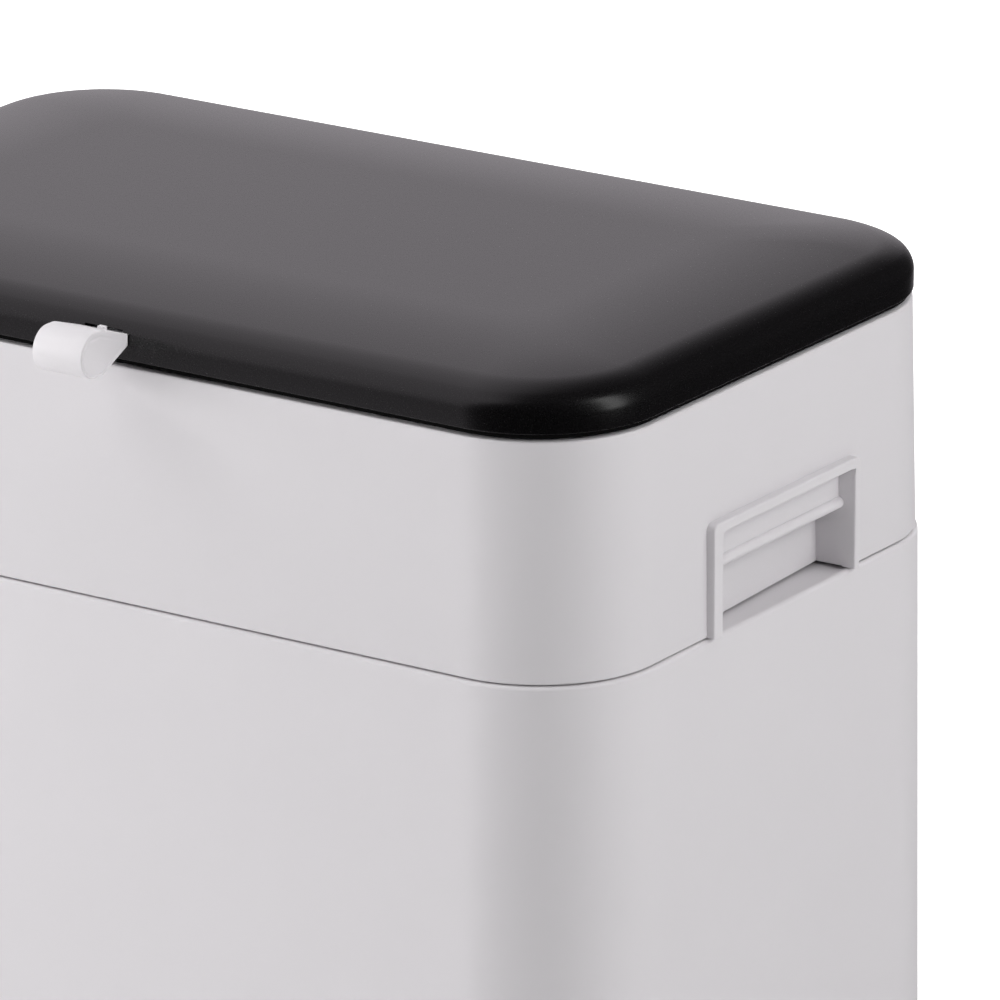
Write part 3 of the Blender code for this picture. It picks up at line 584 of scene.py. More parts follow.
@dataclass(frozen=True)
class Form:
    """The outlines that several pieces share.

    Attributes:
        width: Across the casing's rim.
        depth: Front to back over the rim.
        corner: Corner radius of the rim.
        frame_inset: How far the frame's top lies inside the rim.
        frame_draft: How far the frame widens to its foot.
        top_corner: How much rounder the corners are at the frame's top.
        overhang: How far the lid stands out past the frame's top.
    """

    width: float = 390 * MM
    depth: float = 250 * MM
    corner: float = 46 * MM
    frame_inset: float = 2 * MM
    frame_draft: float = 1.1 * MM
    top_corner: float = 2.6 * MM
    overhang: float = 0.3 * MM

    def outline(self, inset: float = 0.0, gain: float = 0.0, least: float = 2 * MM) -> Outline:
        """The casing's rim, moved inwards.

        Args:
            inset: How far.
            gain: How much rounder its corners are.
            least: Corner radius that its far insets settle to.

        Returns:
            The outline.
        """
        half_x, half_y = self.width / 2 - inset, self.depth / 2 - inset
        return Outline(half_x, half_y, self.corner - inset + gain, least=least)

    @property
    def side(self) -> float:
        """X of the frame's side at its top."""
        return self.width / 2 - self.frame_inset

    @property
    def front(self) -> float:
        """Y of the frame's front at its top."""
        return SET_BACK - (self.depth / 2 - self.frame_inset)

    @property
    def back(self) -> float:
        """Y of the frame's back at its top."""
        return SET_BACK + (self.depth / 2 - self.frame_inset)


FORM = Form()


@dataclass(frozen=True)
class Casing:
    """The lower body: an upright sleeve, its rolled rim, the ledge inside it and a locating rib."""

    wall: float = 2.4 * MM
    flare: float = 4.2 * MM
    stand: float = 2 * MM
    foot_round: float = 0.8 * MM
    rim_round: float = 1.5 * MM
    rest: float = 0.5 * MM
    step_inset: float = 2.4 * MM
    step_drop: float = 0.7 * MM
    ledge_width: float = 23 * MM
    ledge_thickness: float = 2.4 * MM
    rib_height: float = 6 * MM
    rib_thickness: float = 1.6 * MM
    rib_gap: float = 0.4 * MM
    rib_break: float = 49.7 * MM
    base_plate: float = 3 * MM
    boss_radii: Pair = (5.5 * MM, 1.9 * MM)
    boss_rises: Pair = (30 * MM, 12 * MM)
    boss_to_wall: float = 4.5 * MM

    def section(self) -> Array:
        """Inset and height of the sleeve: up the outside, over the rim, along the ledge and down inside.

        Returns:
            The closed section.
        """
        top = PARTING - self.rest
        under = top - self.ledge_thickness - self.step_drop
        low, high = self.stand, top - self.rim_round
        foot_round, drop, lip = self.foot_round, self.step_drop, self.ledge_thickness / 2
        foot = arc((foot_round - self.flare, low + foot_round), foot_round, 270, 180, SMALL_STEPS)
        rim = arc((self.rim_round, high), self.rim_round, 180, 90, ROUND_STEPS)
        step = path((self.step_inset, top), (self.step_inset + drop, top - drop))
        inner = arc((self.ledge_width - lip, top - drop - lip), lip, 90, -90, ROUND_STEPS)
        fillet = arc((self.wall + OVERRUN, under - OVERRUN), OVERRUN, 90, 180, SMALL_STEPS)
        return path(foot, rim, step, inner, fillet, (self.wall - self.flare, low))

    def boss_places(self) -> list[Pair]:
        """X and Y of the four screw bosses, set into the rounded corners of the wall."""
        reach = (FORM.corner + self.flare - self.wall - self.boss_to_wall) / np.sqrt(2)
        half_x, half_y = (size / 2 - FORM.corner + reach for size in (FORM.width, FORM.depth))
        return [(x, y) for x in about(0, half_x) for y in about(SET_BACK, half_y)]

    def build(self) -> None:
        """Builds the sleeve with its rib and bosses."""
        outline = FORM.outline()
        sleeve = carried("casing_sleeve", outline, self.section(), closed=True)
        near = FORM.frame_inset - FORM.frame_draft + UpperFrame.wall + self.rib_gap
        far = near + self.rib_thickness
        top = PARTING - FIT + self.rib_height
        low = PARTING - FIT - self.ledge_thickness / 2
        half = self.rib_thickness / 2
        crown = arc(((near + far) / 2, top - half), half, 180, 0, ROUND_STEPS)
        rib = carried("locating_rib", outline, path((near, low), crown, (far, low)), closed=True)
        gap = box(about(0, FORM.width / 2 + OVERRUN), about(SET_BACK + Grip.set_back, self.rib_break),
                  (PARTING - self.ledge_thickness, top + OVERRUN))
        carve(rib, [(Join.CUT, gap)])
        foot = self.stand + self.base_plate + FIT
        tops = (foot + self.boss_rises[0], foot + self.boss_rises[1])
        carve(sleeve, [(Join.ADD, rib), *bosses(self.boss_places(), self.boss_radii, foot, tops)])
        dress(sleeve, BODY_GREY, Body.CASING, ["lower_body"])


@dataclass(frozen=True)
class Grip:
    """A carrying grip in the frame's side: raised border, sunk panel, bead and open pocket."""

    width: float = 93.9 * MM
    height: float = 40.6 * MM
    set_back: float = 2.65 * MM
    proud: float = 4.0 * MM
    lintel: float = 3.9 * MM
    borders: Pair = (5.7 * MM, 3.2 * MM)
    corner: float = 2.2 * MM
    edge_round: float = 0.6 * MM
    mouth_corner: float = 0.4 * MM
    panel_recess: float = 3 * MM
    skin: float = 2.2 * MM
    pocket_depths: Pair = (9.2 * MM, 13 * MM)
    pocket_reach: float = 13.8 * MM
    wall_lean: float = 1.3 * MM
    pocket_roof: float = 4.8 * MM
    foot_gap: float = 0.25 * MM
    bead_radius: float = 2.1 * MM
    bead_height: float = 23.2 * MM

    def tools(self, side: int, wall: float) -> list[Tool]:
        """The solids that add and hollow one grip.

        Args:
            side: 1 for the bin's right, -1 for its left.
            wall: Thickness of the frame's wall.

        Returns:
            The tools, in working order.
        """
        middle, half = SET_BACK + self.set_back, self.width / 2
        inside, outside = FORM.side - wall / 2, FORM.side + self.proud
        back, far = FORM.side - self.pocket_reach, outside + OVERRUN
        low, top = PARTING - OVERRUN, PARTING + self.height
        shell = Outline(half, self.height, self.corner, (middle, PARTING), steps=ROUND_STEPS)
        soft = self.edge_round
        edge = arc((soft, outside - soft), soft, 180, 90, EDGE_STEPS)
        border = carried("border", shell, path((0, inside), edge) * (1, side), axis=0)
        below = box(mirrored(side, inside - OVERRUN, far + OVERRUN), about(middle, 2 * half),
                    (PARTING - 2 * self.height, PARTING))
        carve(border, [(Join.CUT, below)])
        start, end = middle - half + self.borders[0], middle + half - self.borders[1]
        pocket = box(mirrored(side, back, inside), (start - self.skin, end + self.skin), (PARTING, top))
        face, lintel, roof = FORM.side - self.panel_recess, top - self.lintel, top - self.pocket_roof
        rear = face - self.skin
        bead_z = PARTING + self.bead_height
        bead = arc((face, bead_z), self.bead_radius, 85, -90, 2 * ROUND_STEPS)
        hollows = []
        for depth in self.pocket_depths:
            wall_x = FORM.side - depth
            hollows.append(path((far, low), (far, lintel), (face, lintel), bead,
                                (rear, bead_z - self.bead_radius / 2), (rear, roof), (wall_x, roof),
                                (wall_x + self.wall_lean, low)) * (side, 1))
        recess = solid("recess", placed(np.stack(hollows), (start, end), 1))
        mouth = Outline((end - start) / 2, self.height - self.lintel, self.mouth_corner,
                        ((start + end) / 2, PARTING), steps=2)
        flare = arc((-soft, outside - soft), soft, 0, 90, SMALL_STEPS)
        lips = path((0, outside - 2 * soft), flare, (-soft, far)) * (1, side)
        rim = carried("mouth", mouth, lips, axis=0)
        foot = box(mirrored(side, back - OVERRUN, inside), about(middle, half + OVERRUN),
                   (low, PARTING + self.foot_gap))
        return [(Join.ADD, border), (Join.ADD, pocket), (Join.CUT, recess), (Join.CUT, rim), (Join.CUT, foot)]


@dataclass(frozen=True)
class UpperFrame:
    """The lift-off frame: drafted wall, top flange, two grips, hinge ears and the hook's window."""

    wall: float = 2.2 * MM
    top_round: float = 0.8 * MM
    top_drop: float = 0.5 * MM
    foot_round: float = 0.7 * MM
    flange: float = 18 * MM
    flange_thickness: float = 2.2 * MM
    hinge_x: float = 110 * MM
    hinge_back: float = 6 * MM
    hinge_rise: float = 2 * MM
    knuckle: float = 5 * MM
    knuckle_width: float = 22 * MM
    ear: float = 5 * MM
    ear_gap: float = 0.5 * MM
    ear_root: float = 20 * MM
    bore: float = 2.3 * MM
    window: Triple = (7 * MM, 3.2 * MM, 9.7 * MM)
    grip: Grip = Grip()

    def section(self) -> tuple[Array, Array]:
        """The wall's closed section, and what its corners gain with height.

        Returns:
            Inset and height of each ring, and each ring's gain in corner radius.
        """
        low, high = PARTING, FRAME_TOP - self.top_drop
        under = high - self.flange_thickness
        draft, lip = FORM.frame_draft, self.flange_thickness / 2
        foot = arc((self.foot_round - draft, low + self.foot_round), self.foot_round, 270, 180, FOOT_STEPS)
        top = arc((self.top_round, high - self.top_round), self.top_round, 180, 90, EDGE_STEPS)
        inner = arc((self.flange - lip, high - lip), lip, 90, -90, ROUND_STEPS)
        rows = path(foot, top, inner, (self.wall, under), (self.wall - draft, low))
        gains = FORM.top_corner * np.clip((rows[:, 1] - low) / (high - low), 0, 1)
        return rows, gains

    @property
    def axis(self) -> Pair:
        """Y and Z of the lid's hinge axis."""
        return FORM.back + self.hinge_back, FRAME_TOP + self.hinge_rise

    def ears(self) -> list[Tool]:
        """Two ears round each of the lid's knuckles, each a ring on a gusset down the back wall."""
        root = FORM.back - self.wall / 2
        profile = path((root, FRAME_TOP - self.ear_root),
                       arc(self.axis, self.knuckle, -30, 180, RING_STEPS),
                       (self.axis[0] - self.knuckle, FRAME_TOP - self.top_round),
                       (root, FRAME_TOP - 2 * self.top_round))
        near = self.knuckle_width / 2 + self.ear_gap
        far = near + self.ear
        spans = [(centre + side * near, centre + side * far)
                 for centre in about(0, self.hinge_x) for side in (-1, 1)]
        return [(Join.ADD, prism("ear", profile, sorted(span))) for span in spans]

    def build(self) -> None:
        """Builds the frame as one solid."""
        rows, gains = self.section()
        frame = carried("frame_shell", FORM.outline(FORM.frame_inset), rows, gains, closed=True)
        half, near, far = self.window
        window = box(about(0, half), (FORM.front + near, FORM.front + far),
                     (FRAME_TOP - 2 * self.flange_thickness, FRAME_TOP + OVERRUN))
        bore = bar(self.axis, self.bore, self.hinge_x + self.knuckle_width)
        carve(frame, [*self.grip.tools(1, self.wall), *self.grip.tools(-1, self.wall), *self.ears(),
                      (Join.CUT, bore), (Join.CUT, window)])
        dress(frame, BODY_GREY, Body.FRAME, ["upper_frame"])


@dataclass(frozen=True)
class Lid:
    """The charcoal lid: skirt, three-arc dome, screw bosses, hinge knuckles and latch ears."""

    gap: float = 2.1 * MM
    wall: float = 2.2 * MM
    skirt: float = 6.3 * MM
    foot_round: float = 0.5 * MM
    # Where the black strip of painted seam shadow lies under the skirt: its insets, and how far its underside
    # stays above the frame.
    seam_shadow_strip: Pair = (1.2 * MM, 3.4 * MM)
    seam_shadow_rise: float = 0.2 * MM
    edge_radius: float = 7.9 * MM
    edge_slope: float = 26
    shoulder_radius: float = 29.5 * MM
    shoulder_slope: float = 8.2
    crown_radius: float = 350 * MM
    crown_corner: float = 13 * MM
    boss_radii: Pair = (4 * MM, 1.9 * MM)
    boss_x: float = 120 * MM
    boss_y: float = 72 * MM
    bore_rise: float = 9.7 * MM
    panel_top: float = 395.7 * MM
    pivot_inset: float = 8 * MM
    pivot_rise: float = 8 * MM
    ear_radius: float = 3.6 * MM
    ear_thickness: float = 2.4 * MM
    barrel_width: float = 15.2 * MM
    pin_bore: float = 1.55 * MM
    window: Triple = (8.1 * MM, 7.9 * MM, 12.3 * MM)
    window_depth: float = 4.2 * MM
    hinge: UpperFrame = UpperFrame()

    @property
    def bottom(self) -> float:
        """Z of the skirt's foot."""
        return FRAME_TOP + self.gap

    @property
    def front(self) -> float:
        """Y of the skirt's front."""
        return FORM.front - FORM.overhang

    @property
    def pivot(self) -> Pair:
        """Y and Z of the latch's axis."""
        return FORM.front + self.pivot_inset, FRAME_TOP + self.pivot_rise

    def dome(self, thickness: float, fine: int = 1) -> Array:
        """Inset and height of the dome, moved inwards by a thickness.

        Three arcs follow each other without a kink: a tight edge from the upright skirt, a
        shoulder, and a wide crown that ends level. Each arc's centre lies on the line from
        the last arc's centre through the point where they meet.

        Args:
            thickness: How far inside the outer skin.
            fine: Multiplies the number of chords.

        Returns:
            The points from the skirt to the crown.
        """
        centre = np.array([self.edge_radius, self.bottom + self.skirt])
        radius, slope, runs = self.edge_radius, 90.0, []
        for wanted, end, steps in ((self.edge_radius, self.edge_slope, 2 * EDGE_STEPS),
                                   (self.shoulder_radius, self.shoulder_slope, EDGE_STEPS),
                                   (self.crown_radius, 0.0, ROUND_STEPS)):
            normal = np.array([-np.sin(np.radians(slope)), np.cos(np.radians(slope))])
            centre = centre + (radius - wanted) * normal
            run = arc(centre, wanted - thickness, 90 + slope, 90 + end, steps * fine)
            runs.append(run if slope == 90 else run[1:])
            radius, slope = wanted, end
        return path(*runs)

    def height(self, inset: float) -> float:
        """Height of the outer skin at an inset from the skirt."""
        section = self.dome(0.0, fine=4)
        return float(np.interp(inset, section[:, 0], section[:, 1]))

    def boss_places(self) -> list[Pair]:
        """X and Y of the six screw bosses."""
        return [(x, y) for y in about(SET_BACK, self.boss_y) for x in (-self.boss_x, 0.0, self.boss_x)]

    def knuckles(self) -> list[Tool]:
        """Two knuckles behind the skirt, each a ring on a short arm, and their bore."""
        skirt = FORM.back + FORM.overhang
        root = skirt - self.wall / 2
        axis, radius = self.hinge.axis, self.hinge.knuckle
        low = self.bottom + self.foot_round
        profile = path((root, low), (skirt, low), arc(axis, radius, 215, 450, RING_STEPS),
                       (root, axis[1] + radius))
        half = self.hinge.knuckle_width / 2
        tools = [(Join.ADD, prism("knuckle", profile, about(centre, half)))
                 for centre in about(0, self.hinge.hinge_x)]
        reach = self.hinge.hinge_x + self.hinge.knuckle_width
        return [*tools, (Join.CUT, bar(axis, self.hinge.bore, reach))]

    def latch_ears(self) -> list[Tool]:
        """Two ears under the dome that hold the latch's pin, its bore, and the tongue's window."""
        y, z = self.pivot
        back, front = y + self.ear_radius, y - self.ear_radius
        tops = [self.height(place - self.front) - self.wall / 2 for place in (back, front)]
        profile = path((back, tops[0]), (front, tops[1]), arc((y, z), self.ear_radius, 180, 360, EAR_STEPS))
        near = self.barrel_width / 2 + FIT
        far = near + self.ear_thickness
        tools = [(Join.ADD, prism("ear", profile, mirrored(side, near, far))) for side in (-1, 1)]
        half, low, high = self.window
        window = box(about(0, half), (self.front - OVERRUN, self.front + self.window_depth),
                     (FRAME_TOP + low, FRAME_TOP + high))
        return [*tools, (Join.CUT, bar((y, z), self.pin_bore, far + OVERRUN)), (Join.CUT, window)]

    def build(self) -> None:
        """Builds the shell as one solid, and the black strip under its skirt that paints the seam's shadow.
        """
        low = self.bottom
        outline = FORM.outline(FORM.frame_inset - FORM.overhang, FORM.top_corner, self.crown_corner)
        foot = arc((self.foot_round, low + self.foot_round), self.foot_round, 180, 270, FOOT_STEPS)
        inner = self.dome(self.wall)
        shell = carried("lid_dome", outline, path(self.dome(0.0)[::-1], foot, (self.wall, low), inner))
        tops = (inner[-1, 1] + self.wall / 2, self.panel_top + self.bore_rise)
        carve(shell, [*bosses(self.boss_places(), self.boss_radii, self.panel_top + FIT, tops),
                      *self.knuckles(), *self.latch_ears()])
        dress(shell, CHARCOAL, Body.LID, ["lid_shell"])
        # A black, nearly unreflecting strip under the skirt: painted shadow that darkens the gap between lid
        # and frame.
        near, far = self.seam_shadow_strip
        half, top = (far - near) / 2, low + self.foot_round
        belly = arc(((near + far) / 2, FRAME_TOP + self.seam_shadow_rise + half), half, 180, 360, 2 * EDGE_STEPS)
        seam_shadow_strip = carried("painted_seam_shadow_strip", outline, path((near, top), belly, (far, top)), closed=True)
        dress(seam_shadow_strip, SEAM_SHADOW_BLACK, Body.LID)


@dataclass(frozen=True)
class Latch:
    """The white latch: a drum at the lid's front whose tip reaches the skirt, with a nub on top."""

    span: Pair = (-9.5 * MM, 10.9 * MM)
    drum: float = 7.9 * MM
    forward: float = 19.7 * MM
    rise: float = 8.9 * MM
    lengthening: float = 3 * MM
    tip_gap: float = 0.3 * MM
    tip_low: float = 7.7 * MM
    tip_height: float = 4.1 * MM
    edge: float = 0.35 * MM
    groove_inset: float = 0.9 * MM
    groove_width: float = 1.3 * MM
    groove_depth: float = 0.22 * MM
    groove_shift: Pair = (-0.25, -0.35)
    tip_shrinks: Pair = (0.64, 0.73)
    tongue: Triple = (7.8 * MM, 8.2 * MM, 10.2 * MM)
    tongue_reach: float = 12.8 * MM
    nub: Triple = (1.55 * MM, 1.0 * MM, 0.5 * MM)
    nub_place: Pair = (1.2 * MM, 0.5 * MM)
    nub_height: float = 1.7 * MM
    nub_round: float = 0.4 * MM
    nub_least: float = 0.1 * MM

    @property
    def tip(self) -> float:
        """Y of the latch's back face, just off the lid's skirt."""
        return Lid().front - self.tip_gap

    def profile(self, shrink: float) -> Array:
        """Side view of the latch, moved inwards by shrink, and a little down and forwards with it.

        Two half circles a little apart make the drum. Straight lines leave the rear circle
        towards the flat tip's two corners, where its angle is the direction to the corner plus
        or minus the arc cosine of radius over distance.

        Args:
            shrink: How far inside the outer skin.

        Returns:
            Y and Z of the points.
        """
        front = np.array([FORM.front - self.forward, FRAME_TOP + self.rise])
        rear = front + (self.lengthening, 0)
        y, z = self.tip - shrink, FRAME_TOP + self.tip_low
        low = np.array([y, z + self.tip_shrinks[0] * shrink])
        high = np.array([y, z + self.tip_height - self.tip_shrinks[1] * shrink])
        radius = self.drum - shrink
        touch = []
        for place, side in ((high, 1), (low, -1)):
            away = place - rear
            lean = side * np.arccos(radius / np.hypot(*away))
            touch.append(np.degrees(np.arctan2(away[1], away[0]) + lean))
        points = path(low, high, arc(rear, radius, touch[0], 90, EDGE_STEPS),
                      arc(front, radius, 90, 270, 2 * CORNER_STEPS),
                      arc(rear, radius, -90, touch[1], ROUND_STEPS))
        return points + shrink * np.array(self.groove_shift)

    def stations(self) -> Array:
        """Depth from an end's face and shrink of the profile, from the end's panel out to the skin.

        The panel's edge, a shallow rounded groove round it, and the drum's rounded edge.

        Returns:
            Rows of depth and shrink.
        """
        half, middle = self.groove_width / 2, self.groove_inset + self.groove_width / 2
        across = np.linspace(1, -1, ROUND_STEPS + 1)
        dip = self.groove_depth * (1 + np.cos(np.pi * across)) / 2
        groove = np.stack([dip, middle + half * across], axis=-1)
        turn = np.radians(np.linspace(90, 0, EDGE_STEPS + 1))
        rounding = np.stack([self.edge * (1 - np.sin(turn)), self.edge * (1 - np.cos(turn))], axis=-1)
        return path(groove, rounding)

    def build(self) -> None:
        """Builds the drum with its grooved ends, its slot and its nub."""
        depths, shrinks = self.stations().T
        stations = (*(self.span[0] + depths), *(self.span[1] - depths[::-1]))
        profiles = [self.profile(shrink) for shrink in (*shrinks, *shrinks[::-1])]
        drum = prism("latch_drum", np.stack(profiles), stations)
        half_slot, low, high = self.tongue
        slot = box(about(0, half_slot), (self.tip - self.tongue_reach, self.tip + OVERRUN),
                   (FRAME_TOP + low - FIT, FRAME_TOP + high + FIT))
        foot = FRAME_TOP + high + 2 * FIT
        top = FRAME_TOP + self.tip_low + self.tip_height + self.nub_height
        half_x, half_y, corner = self.nub
        middle = (self.nub_place[0], self.tip - self.nub_place[1] - half_y)
        crown = arc((self.nub_round, top - self.nub_round), self.nub_round, 180, 90, SMALL_STEPS)
        outline = Outline(half_x, half_y, corner, middle, self.nub_least, EDGE_STEPS)
        nub = carried("nub", outline, path((0, foot), crown))
        carve(drum, [(Join.CUT, slot), (Join.ADD, nub)])
        dress(drum, LATCH_WHITE, Body.LATCH, ["latch_shell"])


@dataclass(frozen=True)
class TorsionSpring:
    """The wound spring on the latch's pin: a leg rests on the lid, the other turns with the latch."""

    wire: float = 0.35 * MM
    coil: float = 2.2 * MM
    turns: int = 3
    pitch: float = 1.2 * MM
    leg: float = 4.5 * MM
    leg_rise: float = 1 * MM

    def rings(self, pivot: Pair) -> Array:
        """Circles across the wire, along a helix round the pin with a straight leg at each end.

        The helix moves a pitch along X with each turn. A circle across the wire is spanned by
        the outward direction and its cross product with the wire's direction.

        Args:
            pivot: Y and Z of the pin.

        Returns:
            The rings, one for each point of the wire.
        """
        turn = np.linspace(0, self.turns, self.turns * RING_STEPS + 1)
        angle = np.pi / 2 + 2 * np.pi * turn
        outward = np.stack([np.zeros_like(angle), np.cos(angle), np.sin(angle)], axis=-1)
        route = outward * self.coil + (0, *pivot)
        route[:, 0] = (turn - self.turns / 2) * self.pitch
        route = path(route[0] + (0, self.leg, 0), route, route[-1] + (0, -self.leg, self.leg_rise))
        outward = np.concatenate([outward[:1], outward, outward[-1:]])
        ahead = np.gradient(route, axis=0)
        across = np.cross(ahead, outward)
        across /= np.linalg.norm(across, axis=1, keepdims=True)
        turn = np.linspace(0, 2 * np.pi, 2 * EDGE_STEPS, endpoint=False)[None, :, None]
        return route[:, None] + self.wire * (np.cos(turn) * outward[:, None] + np.sin(turn) * across[:, None])

    def build(self) -> None:
        """Winds the spring round the latch's pin, in plated steel."""
        pivot = Lid().pivot
        spring = solid("spring_wire", self.rings(pivot))
        spring.data.shade_smooth()
        spring.data.materials.append(STEEL.material())
        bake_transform(spring)
        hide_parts("latch_spring")
        LOG.info("%s: %d faces, twists from lid to latch", spring.name, len(spring.data.polygons))


def dress_nodes(frame: dict) -> None:
    """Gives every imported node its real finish.
    """
    finishes = {"body_grey": BODY_GREY, "inner_grey": INNER_GREY, "charcoal": CHARCOAL,
                "latch_white": LATCH_WHITE, "latch_core": LATCH_WHITE, "rubber": RUBBER, "steel": STEEL}
    for part in frame["record"]["subparts"]:
        for place in bpy.data.objects[part["node"]].material_slots:
            place.material = finishes[part["material_slot"]].material()
        LOG.info("%(node)s: finished as %(material_slot)s", part)


# --- Studio ---


def towards(azimuth: float, elevation: float) -> Vector:
    """The unit vector at degrees round from +X and degrees above the floor."""
    turn, lift = np.radians([azimuth, elevation])
    return Vector((np.cos(turn) * np.cos(lift), np.sin(turn) * np.cos(lift), np.sin(lift)))


@dataclass(frozen=True)
class SoftBox:
    """A flat studio lamp that looks at the bin.

    Attributes:
        azimuth: Degrees round from +X.
        elevation: Degrees above the floor.
        power: In watts.
        mirrored: Whether reflections show it.
    """

    name: str
    azimuth: float
    elevation: float
    power: float
    distance: float = 3.0
    width: float = 1.4
    height: float = 1.4
    mirrored: bool = False

    def build(self, aim: Vector) -> None:
        """Hangs the lamp and points it.

        Args:
            aim: The point that it lights.
        """
        away = towards(self.azimuth, self.elevation)
        lamp = bpy.data.lights.new(self.name, "AREA")
        lamp.shape = "RECTANGLE"
        lamp.size, lamp.size_y, lamp.energy = self.width, self.height, self.power
        made = added(self.name, lamp)
        made.location = aim + away * self.distance
        made.rotation_euler = away.to_track_quat("Z", "Y").to_euler()
        made.visible_glossy = self.mirrored


@dataclass(frozen=True)
class DarkFlag:
    """A dark cloth far from the bin, which shapes its reflections and casts no shadow.

    Attributes:
        azimuth: Degrees round from +X to its middle.
        elevation: Degrees above the floor to its middle.
        dark: Degrees from its middle where it begins to fade.
        bright: Degrees from its middle where it has faded.
        through: Share of the light that gets through its middle.
    """

    azimuth: float
    elevation: float
    dark: float
    bright: float
    through: float = 0.0

    def level(self, tree: Tree, ray: Socket) -> Socket:
        """The share of the room's light that the flag lets through.

        It is a smooth step of the cosine between a ray and the flag's middle.

        Args:
            tree: The tree to add the nodes to.
            ray: The ray's direction.

        Returns:
            The output that carries it.
        """
        middle = towards(self.azimuth, self.elevation)
        cosine = node(tree, "VectorMath", {0: ray}, {1: middle}, operation="DOT_PRODUCT").outputs["Value"]
        near, far = np.cos(np.radians([self.dark, self.bright]))
        return ramp(tree, cosine, (far, near), (1.0, self.through), "SMOOTHSTEP")


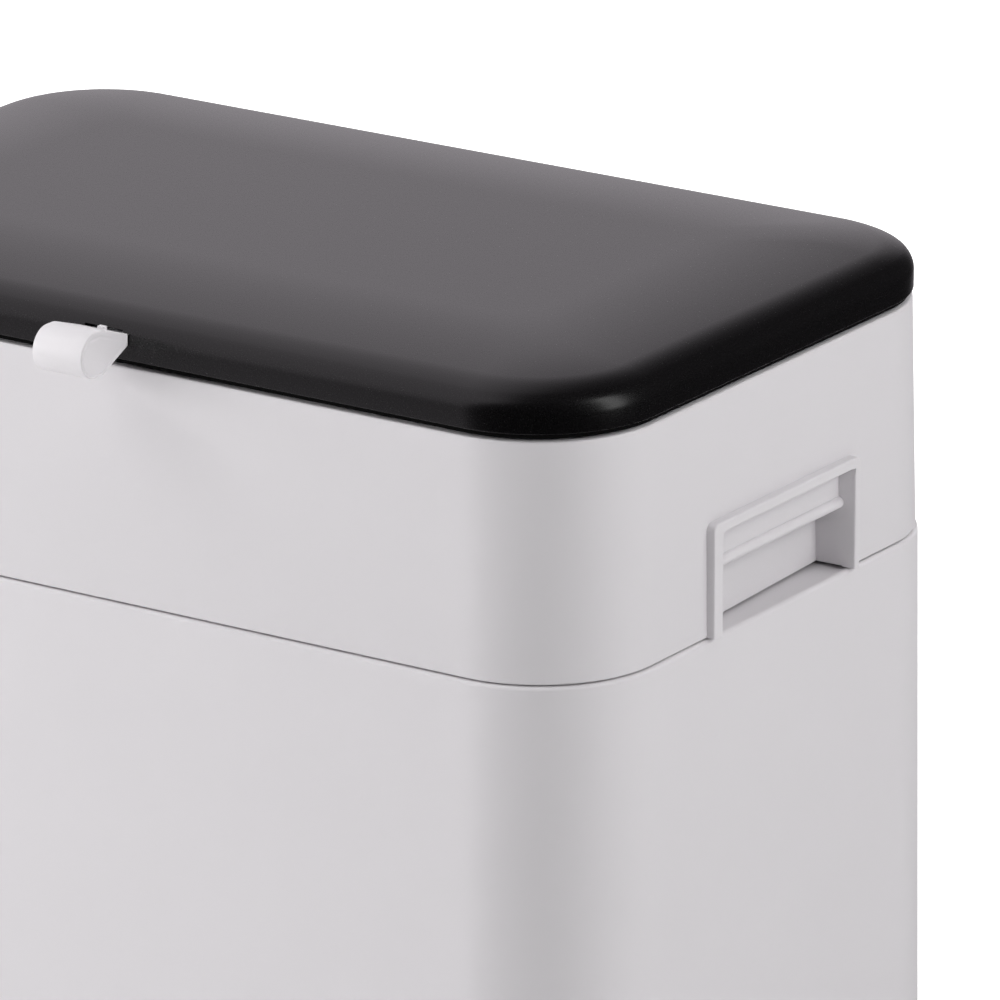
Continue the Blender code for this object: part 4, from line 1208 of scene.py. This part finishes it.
@dataclass(frozen=True)
class Studio:
    """A pale floor, soft lamps, a white room with dark flags, and the camera.

    Attributes:
        eye: The camera's place.
        azimuth: The camera's turn, in degrees.
        pitch: How far it looks down, in degrees.
        focal_pixels: Its focal length in the photo's pixels.
        ambient: What the room gives to matte surfaces.
        room: Brightness of the room in reflections.
        ground: Share of that brightness below the horizon.
        horizon: Heights of a ray between which the ground turns into the room.
        glow_reach: Distances from the bin between which the floor's glow grows.
        glow: The floor's glow at those distances.
    """

    eye: Triple = (1.7418, -2.4869 + SET_BACK, 1.2980)
    azimuth: float = 33.75
    pitch: float = 18.08
    focal_pixels: float = 9021.3
    view_reach: float = 50
    aim: Triple = (0, SET_BACK, 0.25)
    ambient: float = 0.03
    room: float = 0.82
    ground: float = 0.65
    horizon: Pair = (-0.2, 0.1)
    tint: str = "FFF8FF"
    floor_size: Pair = (9.0, 0.02)
    floor_colour: str = "E6E6E6"
    glow_reach: Pair = (0.4, 2.5)
    glow: Pair = (0.62, 1.0)
    flags: tuple[DarkFlag, ...] = (DarkFlag(16, 10, 79, 105, 0.05), DarkFlag(-58, -10, 55, 64))
    lamps: tuple[SoftBox, ...] = (
        SoftBox("key_low_left", -150, 8, 35.5),
        SoftBox("key_low_front", -135, 8, 45.5),
        SoftBox("key_high_left", -150, 50, 27),
        SoftBox("fill_front", -60, 28, 5),
        SoftBox("side_right", -5, 28, 26.5),
        SoftBox("side_high_back", 35, 50, 24),
        SoftBox("back_low", 105, 18, 44),
        SoftBox("top", -90, 80, 12),
        SoftBox("glint_right", 6, 20, 12, 2.4, 0.7, 2.2, True),
    )

    def camera(self) -> None:
        """Sets the camera as it was fitted to the photo."""
        forward, right = towards(90 + self.azimuth, -self.pitch), towards(self.azimuth, 0)
        axes = Matrix((right, right.cross(forward), -forward)).transposed()
        lens = bpy.data.cameras.new("camera")
        lens.lens = self.focal_pixels * lens.sensor_width / PHOTO_PIXELS
        lens.clip_end = self.view_reach
        made = added("camera", lens)
        made.matrix_world = Matrix.Translation(self.eye) @ axes.to_4x4()
        bpy.context.scene.camera = made

    def floor(self) -> None:
        """Lays a round pale floor, white to the camera, which keeps the bin's shadow.

        Its glow grows with the distance from the bin, where the lamps no longer light it.
        """
        radius, thickness = self.floor_size
        disc = post("floor", (0, 0), [(radius, -thickness), (radius, 0.0)], 3 * BAR_STEPS)
        made = bpy.data.materials.new("painted_studio_floor")
        made.use_nodes = True
        tree = made.node_tree
        tree.nodes.remove(tree.nodes["Principled BSDF"])
        paint = node(tree, "BsdfDiffuse", values={"Color": linear(self.floor_colour)}).outputs[0]
        place = node(tree, "TexCoord").outputs["Object"]
        away = node(tree, "VectorMath", {0: place}, operation="LENGTH").outputs["Value"]
        glow = node(tree, "Emission", {"Strength": ramp(tree, away, self.glow_reach, self.glow)})
        both = node(tree, "AddShader", {0: paint, 1: glow.outputs[0]})
        mix = node(tree, "MixShader", {0: self.seen(tree), 1: paint, 2: both.outputs[0]})
        feed(tree, tree.nodes["Material Output"], {"Surface": mix.outputs[0]})
        disc.data.materials.append(made)
        disc.visible_glossy = False

    def seen(self, tree: Tree) -> Socket:
        """One for what the camera, reflections and clear materials see, and zero for other light.

        Args:
            tree: The tree to add the nodes to.

        Returns:
            The output that carries it.
        """
        rays = node(tree, "LightPath").outputs
        found = rays["Is Camera Ray"]
        for kind in ("Is Glossy Ray", "Is Transmission Ray"):
            found = node(tree, "Math", {0: found, 1: rays[kind]}, operation="MAXIMUM").outputs[0]
        return found

    def surround(self) -> None:
        """Lights the bin evenly, and shows white to the camera and a room with flags in reflections.

        The ground's level is a smooth step of the ray's height.
        """
        world = bpy.data.worlds.new("studio")
        bpy.context.scene.world = world
        world.use_nodes = True
        tree = world.node_tree
        even = tree.nodes["Background"]
        feed(tree, even, values={"Color": (1, 1, 1, 1), "Strength": self.ambient})
        ray = node(tree, "TexCoord").outputs["Generated"]
        height = node(tree, "SeparateXYZ", {0: ray}).outputs["Z"]
        level = ramp(tree, height, self.horizon, (self.ground * self.room, self.room), "SMOOTHSTEP")
        for flag in self.flags:
            share = flag.level(tree, ray)
            level = node(tree, "Math", {0: level, 1: share}, operation="MULTIPLY").outputs[0]
        room = node(tree, "Background", {"Strength": level}, {"Color": linear(self.tint)})
        white = node(tree, "Background", values={"Color": (1, 1, 1, 1)})
        camera = node(tree, "LightPath").outputs["Is Camera Ray"]
        shown = node(tree, "MixShader", {0: camera, 1: room.outputs[0], 2: white.outputs[0]})
        mix = node(tree, "MixShader", {0: self.seen(tree), 1: even.outputs[0], 2: shown.outputs[0]})
        feed(tree, tree.nodes["World Output"], {"Surface": mix.outputs[0]})

    def build(self) -> None:
        """Builds the whole studio."""
        self.camera()
        self.floor()
        self.surround()
        for lamp in self.lamps:
            lamp.build(Vector(self.aim))
        bpy.context.scene.view_settings.view_transform = "Standard"


def main() -> None:
    """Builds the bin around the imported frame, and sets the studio."""
    logging.basicConfig(level=logging.INFO, format="%(name)s: %(message)s")
    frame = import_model()
    dress_nodes(frame)
    for assembly in (Casing(), UpperFrame(), Lid(), Latch(), TorsionSpring()):
        assembly.build()
    Studio().build()


if __name__ == "__main__":
    main()
